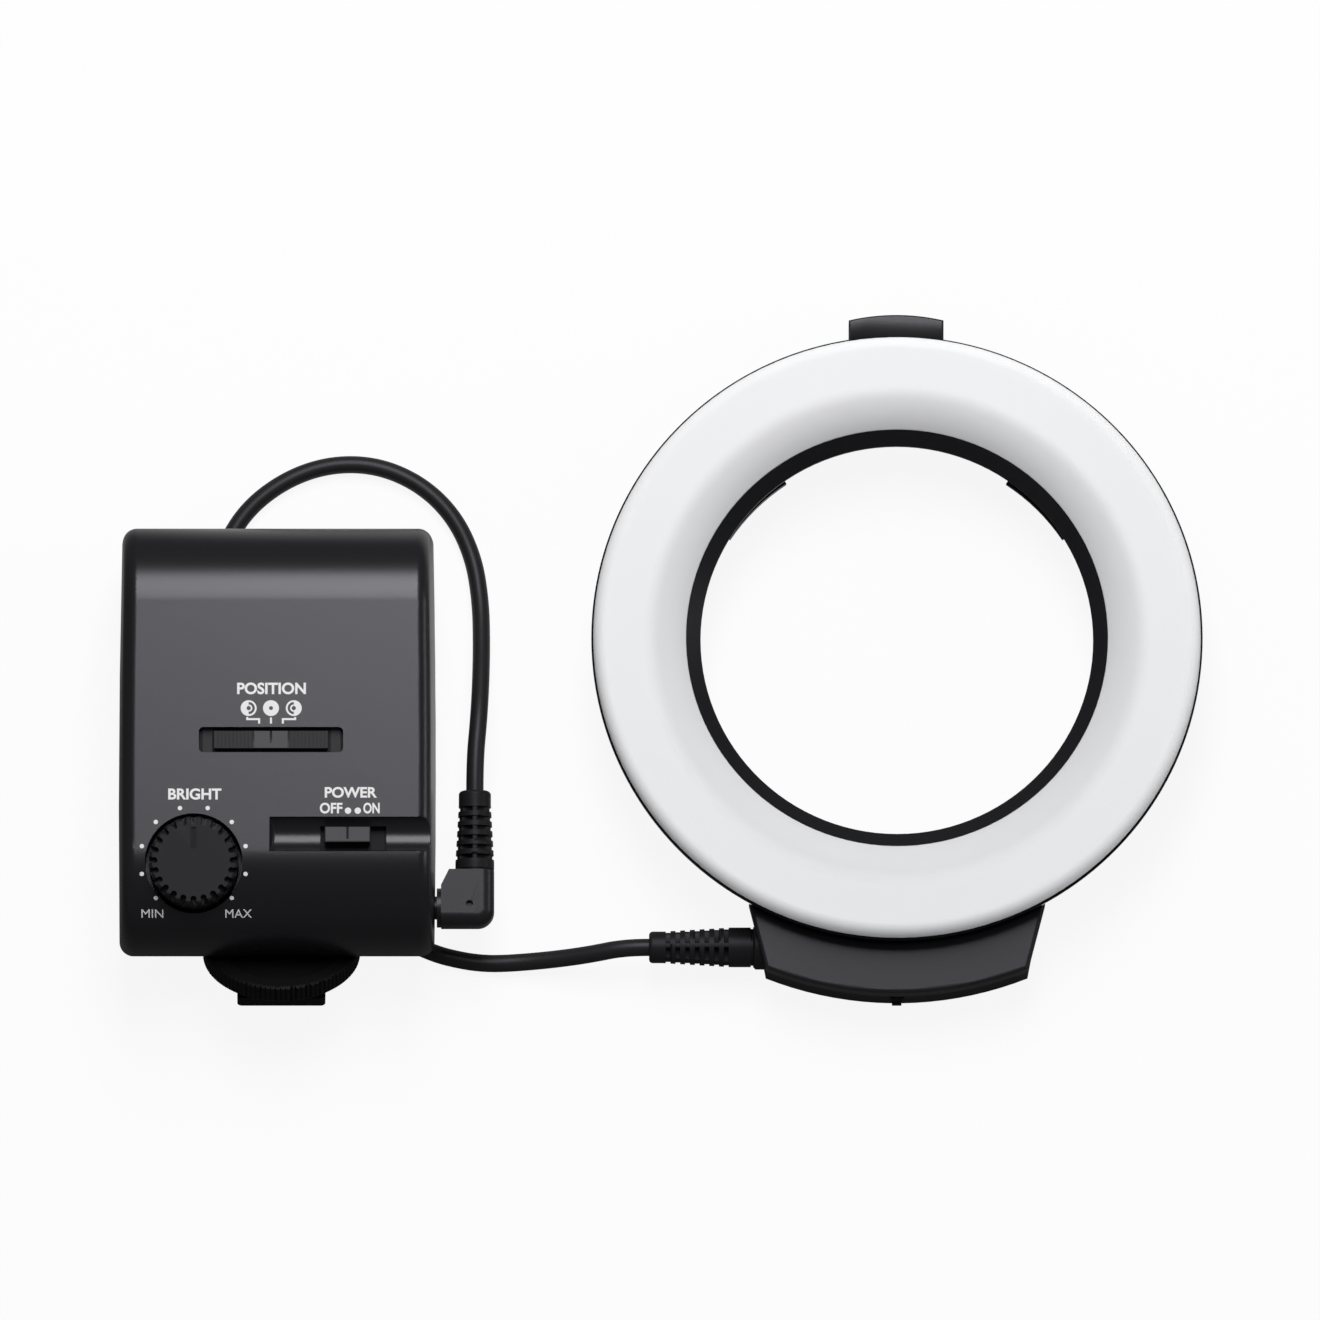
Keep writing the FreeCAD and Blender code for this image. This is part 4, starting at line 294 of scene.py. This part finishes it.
# Rear shell of the ring
# Black moulded ABS with a fine spark texture, a round tray that carries the light board, with the
# tray of the base block moulded to it. Its edge stands round the diffuser as a thin lip, and screws
# from behind hold the bezel and the base's cover.
LIP_PROFILE = ((64.15, 0, 20.0), (64.6, 0, 20.0), (64.6, 0, 21.6), (64.15, 0, 22.0))
LIP_STEPS = 180
ring_black = grained("ring_black", (0.007, 0.007, 0.0078), 0.42, grain=0.22, depth=0.012)
plated_steel = grained("plated_steel", (0.42, 0.42, 0.43), 0.3, grain=0.15, depth=0.003, metallic=1.0,
                       stretch=(1, 8, 1))
finished("ring_rear_shell", "ring_tray", "light", ring_black)
finished("rear_screws", "rear_screw_heads", "light", plated_steel)
lip = bmesh.new()
lip_corners = [lip.verts.new(Vector(place) * MM) for place in LIP_PROFILE]
lip_edges = [lip.edges.new((lip_corners[step - 1], lip_corners[step]))
             for step in range(len(LIP_PROFILE))]
bmesh.ops.spin(lip, geom=[*lip_corners, *lip_edges], cent=(0, 0, 0), axis=(0, 0, 1),
               angle=math.radians(360), steps=LIP_STEPS, use_merge=True)
bmesh.ops.recalc_face_normals(lip, faces=lip.faces)
made_piece("ring_tray_lip", lip, "light", ring_black)

# Bezel and latch
# A coned lip and barrel in the same black plastic, with two fixed claws for the lens adapter. A
# sheet-steel frame runs round the barrel, and its hook is the third claw: the button pushes it.
bezel_black = grained("bezel_black", (0.005, 0.005, 0.006), 0.38, grain=0.2, depth=0.01, specular=0.4)
spring_steel = grained("spring_steel", (0.5, 0.5, 0.52), 0.26, grain=0.5, depth=0.003, metallic=1.0,
                       stretch=(1, 12, 1))
RING_CELL = 0.05
RING_SHIFT = 0.26
TURNED_ASIDE = 0.08
TURNED_BEND = 32


def turned(made):
    """Evens the shading of a piece turned about Z: corners at one radius and height share one tilt.
    The shift keeps round sizes off the edges of the cells that corners are gathered in."""
    made.modifiers.clear()
    mesh = made.data
    rings = {}
    corners = []
    for face in mesh.polygons:
        out = Vector((face.center.x, face.center.y, 0)).normalized()
        if abs(face.normal.dot(Vector((-out.y, out.x, 0)))) > TURNED_ASIDE:
            continue
        tilt = math.degrees(math.atan2(face.normal.dot(out), face.normal.z))
        for corner in face.loop_indices:
            place = mesh.vertices[mesh.loops[corner].vertex_index].co / MM
            ring = tuple(round(size / RING_CELL + RING_SHIFT)
                         for size in (math.hypot(place.x, place.y), place.z))
            total = rings.setdefault(ring, {}).setdefault(round(tilt), [0, 0])
            total[0] += face.area
            total[1] += face.area * tilt
            corners.append((corner, ring, tilt, math.atan2(place.y, place.x)))
    normals = [corner.vector.copy() for corner in mesh.corner_normals]
    for corner, ring, tilt, azimuth in corners:
        near = [total for level, total in rings[ring].items() if abs(level - tilt) < TURNED_BEND]
        mean = math.radians(sum(total[1] for total in near) / sum(total[0] for total in near))
        normals[corner] = Vector((math.sin(mean) * math.cos(azimuth),
                                  math.sin(mean) * math.sin(azimuth), math.cos(mean)))
    mesh.normals_split_custom_set(normals)


turned(finished("inner_bezel", "bezel_barrel", "light", bezel_black))
finished("latch_frame", "latch_sheet", "release", spring_steel)
finished("release_spring", "release_leaf", "release", spring_steel)
button_satin = grained("button_satin", (0.012, 0.012, 0.0135), 0.34, grain=0.2, depth=0.008,
                       specular=0.3)
finished("release_button", "release_tab", "release", button_satin)

# Light board and reflector
# A green ring of circuit board with white light-emitting chips round it, under a matt white tray
# that throws their light forward. Four small screws hold the board to the shell.
board_green = grained("board_green", (0.012, 0.13, 0.05), 0.28, grain=1.2, depth=0.02, tone=0.25,
                      patch=4)
white_tray = grained("white_tray", (0.82, 0.82, 0.82), 0.6, grain=0.3, depth=0.01, tone=0.03)
chip_phosphor = grained("chip_phosphor", (0.85, 0.66, 0.10), 0.2, grain=0.5, depth=0.01, tone=0.12,
                        patch=2)
finished("reflector", "reflector_tray", "light", white_tray)
finished("led_board", "light_board", "light", board_green)
finished("leds", "light_chips", "light", chip_phosphor)
finished("board_screws", "board_screw_heads", "light", plated_steel)

# Diffuser
# Injection-moulded milky acrylic: a flat crown, a round outer rim, and a convex slope down to the
# bezel. Light scatters inside it, so its shade is soft, and its skin is smooth and a little shiny.
PAINTED_SHADE_MIDDLE = (0, 0, 22)
PAINTED_SHADE_END = 50
PAINTED_SHADE_START = 54
SLOPE_PAINTED_SHADE = (0.84, 0.84, 0.845, 1)
diffuser_milk = grained("diffuser_milk", (0.85, 0.85, 0.855), 0.5, grain=0.6, depth=0.004,
                        tone=0.012, patch=30)
milk = diffuser_milk.node_tree.nodes["Principled BSDF"]
milk.inputs["Subsurface Weight"].default_value = 0.2
milk.inputs["Subsurface Radius"].default_value = (1.0, 0.95, 0.95)
milk.inputs["Subsurface Scale"].default_value = 2.5 * MM
# Painted shade: the slope inside the crown gets a darker base colour than the crown, fading out between
# 50 and 54 mm from a point on the axis.
milk_nodes = diffuser_milk.node_tree.nodes
milk_links = diffuser_milk.node_tree.links
milk_place = milk_nodes.new("ShaderNodeTexCoord")
milk_reach = milk_nodes.new("ShaderNodeVectorMath")
milk_reach.operation = "DISTANCE"
milk_reach.inputs[1].default_value = Vector(PAINTED_SHADE_MIDDLE) * MM
milk_links.new(milk_place.outputs["Object"], milk_reach.inputs[0])
painted_shade_share = milk_nodes.new("ShaderNodeMapRange")
painted_shade_share.interpolation_type = "SMOOTHSTEP"
painted_shade_share.inputs["From Min"].default_value = PAINTED_SHADE_END * MM
painted_shade_share.inputs["From Max"].default_value = PAINTED_SHADE_START * MM
painted_shade_share.inputs["To Min"].default_value = 1
painted_shade_share.inputs["To Max"].default_value = 0
milk_links.new(milk_reach.outputs["Value"], painted_shade_share.inputs["Value"])
slope_painted_shade = milk_nodes.new("ShaderNodeMix")
slope_painted_shade.data_type = "RGBA"
slope_painted_shade.blend_type = "MULTIPLY"
slope_painted_shade.inputs["B"].default_value = SLOPE_PAINTED_SHADE
milk_links.new(painted_shade_share.outputs["Result"], slope_painted_shade.inputs["Factor"])
milk_links.new(milk.inputs["Base Color"].links[0].from_socket, slope_painted_shade.inputs["A"])
milk_links.new(slope_painted_shade.outputs["Result"], milk.inputs["Base Color"])
turned(finished("diffuser", "diffuser_ring", "light", diffuser_milk, sharp=50))

# Base block
# The cord's entry and the wiring sit in a block under the ring. Its front cover is a dark grey
# moulding with softened edges and a bare face; inside are a small terminal board and a flat ribbon.
base_grey = grained("base_grey", (0.014, 0.014, 0.016), 0.34, grain=0.16, depth=0.006, specular=0.25)
ribbon_jacket = grained("ribbon_jacket", (0.3, 0.3, 0.32), 0.45, grain=0.4, depth=0.01,
                        stretch=(6, 1, 1))
finished("base_front_cover", "base_cover", "light", base_grey)
finished("terminal_board", "entry_board", "light", board_green)
finished("head_ribbon", "wiring_ribbon", "light", ribbon_jacket)
finished("cable_collar", "entry_collar", "light", moulded_rubber)

# Controller case
# Two ABS shells that meet at half depth, sprayed dark grey with a fine satin texture. The front
# has a round crown and chin, a well for the dial, a slot and a trough for the two slide switches.
PANEL_HEIGHT = 40.0
CHIN_START = -47.9
CHIN_ROUND = 20.0
CROWN_BEND_Y = 5.0
CROWN_ROUND = 18.0
TROUGH_Y = -44.8
TROUGH_AXIS = 42.011
TROUGH_ROUND = 4.2114
ON_SURFACE = 0.02
SAME_FACE = math.radians(14)
case_grey = grained("case_grey", (0.009, 0.0087, 0.0102), 0.30, grain=0.16, depth=0.010, tone=0.05,
                    specular=0.355)


def flat_surface(height, low, high):
    """The exact normal of a level face at a height, between two distances along Y."""
    def normal(place):
        if abs(place.z - height) < ON_SURFACE and low - ON_SURFACE < place.y < high + ON_SURFACE:
            return Vector((0, 0, 1))
        return None
    return normal


def round_surface(middle_y, middle_z, radius, hollow=False):
    """The exact normal of a round face whose axis runs along X."""
    def normal(place):
        out = Vector((0, place.y - middle_y, place.z - middle_z))
        if abs(out.length - radius) < ON_SURFACE:
            return -out.normalized() if hollow else out.normalized()
        return None
    return normal


def trued(made, surfaces):
    """Gives a piece the exact normals of its main surfaces.
    Each surface takes a place in millimetres, and returns nothing where it doesn't pass."""
    made.modifiers.clear()
    mesh = made.data
    normals = [corner.vector.copy() for corner in mesh.corner_normals]
    for face in mesh.polygons:
        for corner in face.loop_indices:
            place = mesh.vertices[mesh.loops[corner].vertex_index].co / MM
            for surface in surfaces:
                exact = surface(place)
                if exact and exact.angle(face.normal, math.pi) < SAME_FACE:
                    normals[corner] = exact
                    break
    mesh.normals_split_custom_set(normals)


trued(finished("controller_front_shell", "case_front", "light", case_grey), (
    flat_surface(PANEL_HEIGHT, CHIN_START, CROWN_BEND_Y),
    round_surface(CHIN_START, PANEL_HEIGHT - CHIN_ROUND, CHIN_ROUND),
    round_surface(CROWN_BEND_Y, PANEL_HEIGHT - CROWN_ROUND, CROWN_ROUND),
    round_surface(TROUGH_Y, TROUGH_AXIS, TROUGH_ROUND, hollow=True)))
finished("controller_rear_shell", "case_rear", "light", case_grey)
finished("shell_screws", "case_screw_heads", "light", plated_steel)

# Circuit board of the controller
# One green board carries the driver's coil, its two capacitors, the driver chip, the potentiometer,
# both slide switches and the jack. All of it is out of sight while the case is closed.
coil_wire = grained("coil_wire", (0.42, 0.17, 0.05), 0.3, grain=0.3, depth=0.06, metallic=0.6,
                    stretch=(0.1, 0.1, 2))
can_sleeve = grained("can_sleeve", (0.03, 0.035, 0.06), 0.3, grain=0.5, depth=0.006)
part_black = grained("part_black", (0.02, 0.02, 0.02), 0.3, grain=0.2, depth=0.008)
finished("control_board", "driver_board", "light", board_green)
finished("driver_coil", "driver_winding", "light", coil_wire)
finished("capacitors", "capacitor_cans", "light", can_sleeve)
finished("driver_chip", "driver_package", "light", part_black)
finished("brightness_potentiometer", "potentiometer_case", "light", part_black)
finished("position_switch", "position_switch_box", "light", part_black)
finished("power_switch", "power_switch_box", "light", part_black)
finished("power_jack", "jack_body", "light", part_black)

# Batteries and their door
# Two dry cells lie head to tail across the case between spring-metal contacts. The door is a plate
# of the case's own plastic with grip ribs, and slides out to the left on two tongues.
cell_wrap = grained("cell_wrap", (0.10, 0.105, 0.12), 0.22, grain=0.8, depth=0.004, tone=0.04)
finished("upper_battery", "upper_cell", "light", cell_wrap)
finished("lower_battery", "lower_cell", "light", cell_wrap)
finished("battery_contacts", "cell_contacts", "light", spring_steel)
finished("battery_door", "door_plate", "battery_door", case_grey)

# Brightness dial
# A black knurled knob, pressed on the potentiometer's flatted shaft, that turns in its well. The
# bar cut in its top points at ten white dots printed round the well.
knob_black = grained("knob_black", (0.010, 0.010, 0.0112), 0.42, grain=0.14, depth=0.008)
finished("dial_shaft", "dial_spindle", "dial", spring_steel)
finished("brightness_dial", "dial_knob", "dial", knob_black)

# Slide switches
# Each slider is a black cap, ribbed for the fingertip, whose neck goes through a dark plate to the
# steel lever of the switch behind it. A line is cut in each cap between smooth faces, drawn lighter
# than the cap as a painted sheen, and a dark sheet lies in the line as painted shade. The position
# switch's slot shows a smooth grey face at each end.
cap_black = grained("cap_black", (0.030, 0.030, 0.0325), 0.45, grain=0.14, depth=0.008)
slot_black = grained("slot_black", (0.008, 0.008, 0.009), 0.5, grain=0.2, depth=0.01)
finished("position_slot_plate", "position_floor", "light", slot_black)
finished("position_slider", "position_cap", "position_slide", cap_black)
finished("position_switch_lever", "position_lever", "position_slide", spring_steel)
finished("power_slot_plate", "power_floor", "light", slot_black)
finished("power_slider", "power_cap", "power_slide", cap_black)
finished("power_switch_lever", "power_lever", "power_slide", spring_steel)
cap_painted_sheen = grained("cap_painted_sheen", (0.07, 0.07, 0.073), 0.4, grain=0.14, depth=0.006)
for name, body, material, height, spans in (
    # The index leaves are dark sheets in the cut lines of the dial and the caps: painted shade in the
    # grooves.
    ("dial_index", "dial", slot_black, 41.87, [(-148.73, -147.67, -48.18, -43.72)]),
    ("position_index", "position_slide", slot_black, 39.92, [(-132.23, -131.77, -25.45, -22.89)]),
    ("power_index", "power_slide", slot_black, 39.52, [(-116.08, -115.62, -45.78, -43.22)]),
    # The position_centre and power_top leaves are the cap's plastic drawn lighter: a painted sheen on
    # the smooth faces and the power cap's top.
    ("position_centre", "position_slide", cap_painted_sheen, 40.22, [
        (-135.5, -132.25, -26.5, -22.9), (-131.75, -128.5, -26.5, -22.9),
        (-132.25, -131.75, -26.5, -25.47)]),
    ("power_top", "power_slide", cap_painted_sheen, 39.72, [
        (-120.4, -116.1, -46.2, -43.3), (-115.6, -111.3, -46.2, -43.3),
        (-116.1, -115.6, -46.2, -45.8)]),
    ("slot_leaves", "light", cap_black, 38.04, [
        (-146.4, -144.4, -28.2, -22.0), (-119.4, -117.4, -28.2, -22.0)]),
):
    leaves = bmesh.new()
    for left, right, low, high in spans:
        leaves.faces.new([leaves.verts.new(Vector((x, y, height)) * MM)
                          for x, y in ((left, low), (right, low), (right, high), (left, high))])
    made_piece(name, leaves, body, material)

# Printing on the case
# White pad printing: plain words for the controls, the dial's ten dots, the two dots of the power
# switch, and three ring signs with the lines that lead to the position switch.
PRINT_THICK = 0.03
PRINT_STEP = 0.3
PRINT_STEPS = 60
DOT_SIDES = 24
DIAL_DOT = 0.47
POWER_DOT = 0.68
BOLD = 0.03
SIGN_ALONG = 29.9
SIGN_HOLE = 0.45
SIGN_FULL_HOLE = 0.42
SIGN_CORE = 0.78
SIGN_BAND = 1.3
SIGN_RIM = 1.69
SIGN_GAP = 4
SECTOR_STEP = 15
LEAD_WIDTH = 0.42
print_white = grained("print_white", (0.80, 0.80, 0.80), 0.5, grain=0.2, depth=0.003, tone=0.02)


def on_case(x, along, lift=0.0):
    """The point of the case's front at x, a distance along it above the start of the chin's bend."""
    if along >= 0:
        return Vector((x, CHIN_START + along, PANEL_HEIGHT + lift)) * MM
    bend = -along / CHIN_ROUND
    reach = CHIN_ROUND + lift
    return Vector((x, CHIN_START - reach * math.sin(bend),
                   PANEL_HEIGHT - CHIN_ROUND + reach * math.cos(bend))) * MM


def lay_on_case(shape):
    """Bends a flat print, drawn in millimetres as x and distance along the case, on to the case."""
    for step in range(1, PRINT_STEPS):
        bmesh.ops.bisect_plane(shape, geom=[*shape.verts, *shape.edges, *shape.faces], dist=MERGE_GAP,
                               plane_co=(0, -PRINT_STEP * step, 0), plane_no=(0, 1, 0))
    for vertex in shape.verts:
        vertex.co = on_case(vertex.co.x, vertex.co.y, vertex.co.z)


def add_words(shape, words, middle, along, wide, tall, weight):
    """Adds a printed word by its middle and size in millimetres, and its outline's extra weight."""
    lettering = bpy.data.curves.new(words, "FONT")
    lettering.body = words
    lettering.align_x = "CENTER"
    lettering.align_y = "CENTER"
    lettering.offset = weight
    lettering.extrude = PRINT_THICK / 2
    written = bpy.data.objects.new(words, lettering)
    scene.collection.objects.link(written)
    bpy.context.view_layer.update()
    outlined = written.evaluated_get(bpy.context.evaluated_depsgraph_get())
    letters = bpy.data.meshes.new_from_object(outlined)
    low = [min(vertex.co[axis] for vertex in letters.vertices) for axis in range(2)]
    high = [max(vertex.co[axis] for vertex in letters.vertices) for axis in range(2)]
    letters.transform(Matrix.Translation((-(low[0] + high[0]) / 2, -(low[1] + high[1]) / 2, 0)))
    letters.transform(Matrix.Diagonal((wide / (high[0] - low[0]), tall / (high[1] - low[1]), 1, 1)))
    letters.transform(Matrix.Translation((middle, along, PRINT_THICK / 2)))
    cut = bmesh.new()
    cut.from_mesh(letters)
    bmesh.ops.triangulate(cut, faces=cut.faces)
    cut.to_mesh(letters)
    cut.free()
    shape.from_mesh(letters)
    bpy.data.objects.remove(written)
    bpy.data.meshes.remove(letters)
    bpy.data.curves.remove(lettering)


def add_dot(shape, middle, along, radius):
    """Adds a printed dot."""
    bmesh.ops.create_circle(shape, cap_ends=True, radius=radius, segments=DOT_SIDES,
                            matrix=Matrix.Translation((middle, along, PRINT_THICK)))


def add_sector(shape, middle, along, inner, outer, start, end):
    """Adds a printed ring or part of a ring between two radii and two angles in degrees."""
    turn = Matrix.Rotation(math.radians(start), 3, "Z")
    centre = Vector((middle, along, PRINT_THICK))
    ends = [shape.verts.new(centre + turn @ Vector((radius, 0, 0))) for radius in (inner, outer)]
    edge = shape.edges.new(ends)
    whole = abs(end - start) >= 360
    steps = max(3, round(abs(end - start) / SECTOR_STEP))
    bmesh.ops.spin(shape, geom=[*ends, edge], cent=centre, axis=(0, 0, 1),
                   angle=math.radians(end - start), steps=steps, use_merge=whole)


def add_stroke(shape, points, width):
    """Adds a printed line through points that lead down the case, as strips that meet square."""
    half = width / 2
    last = len(points) - 2
    for step, ((x0, y0), (x1, y1)) in enumerate(zip(points, points[1:])):
        if y0 == y1:
            left, right, low, high = min(x0, x1) - half, max(x0, x1) + half, y0 - half, y0 + half
        else:
            left, right = x0 - half, x0 + half
            low = y1 + (half if step < last else 0)
            high = y0 - (half if step > 0 else 0)
        corners = [shape.verts.new((x, y, PRINT_THICK)) for x, y in
                   ((left, low), (right, low), (right, high), (left, high))]
        shape.faces.new(corners)


prints = bmesh.new()
for words, middle, along, wide, tall, weight in (
    ("POSITION", -131.9, 34.1, 14.5, 2.5, BOLD),
    ("BRIGHT", -148.0, 11.6, 11.2, 2.4, BOLD),
    ("POWER", -115.15, 11.95, 11.0, 2.3, BOLD),
    ("OFF", -119.3, 8.6, 4.75, 2.3, BOLD),
    ("ON", -110.8, 8.6, 3.45, 2.3, BOLD),
    ("MIN", -156.95, -14.3, 4.6, 2.1, 0),
    ("MAX", -138.8, -14.3, 5.6, 2.1, 0),
):
    add_words(prints, words, middle, along, wide, tall, weight)
DIAL_X = -148.2
for aside, along in ((2.92, 8.6), (7.99, 5.64), (10.91, 0.51), (10.91, -5.36), (7.99, -10.6)):
    for side in (-1, 1):
        add_dot(prints, DIAL_X + side * aside, along, DIAL_DOT)
for middle in (-115.75, -113.7):
    add_dot(prints, middle, 8.05, POWER_DOT)
for middle, side in ((-136.7, -1), (-132.0, 0), (-127.2, 1)):
    if side == 0:
        add_sector(prints, middle, SIGN_ALONG, SIGN_FULL_HOLE, SIGN_RIM, 0, 360)
    else:
        lit = 90 if side < 0 else -90
        add_sector(prints, middle, SIGN_ALONG, SIGN_HOLE, SIGN_RIM, lit, lit + 180)
        add_sector(prints, middle, SIGN_ALONG, SIGN_HOLE, SIGN_CORE,
                   lit + 180 + SIGN_GAP, lit + 360 - SIGN_GAP)
        add_sector(prints, middle, SIGN_ALONG, SIGN_BAND, SIGN_RIM, lit + 180, lit + 360)
for lead in (
    [(-137.0, 28.0), (-137.0, 27.55), (-134.5, 27.55), (-134.5, 26.6)],
    [(-132.0, 27.9), (-132.0, 26.6)],
    [(-126.9, 28.0), (-126.9, 27.55), (-129.5, 27.55), (-129.5, 26.6)],
):
    add_stroke(prints, lead, LEAD_WIDTH)
lay_on_case(prints)
made_piece("case_printing", prints, "light", print_white)

# Foot
# A threaded plastic stem through the slanted rear edge of the case, a knurled wheel that screws
# down on it, a clamp plate, and the square steel foot that slides into the camera's shoe.
wheel_black = grained("wheel_black", (0.005, 0.005, 0.0055), 0.5, grain=0.16, depth=0.008, specular=0.08)
foot_paint = grained("foot_paint", (0.006, 0.006, 0.0066), 0.4, grain=0.25, depth=0.006)
finished("foot_stem", "stem_thread", "light", wheel_black)
finished("lock_wheel", "lock_knurl", "wheel", wheel_black)
finished("clamp_plate", "clamp_sheet", "clamp", foot_paint)
finished("shoe_foot", "shoe_plate", "light", foot_paint)
finished("foot_screw", "foot_screw_head", "light", plated_steel)
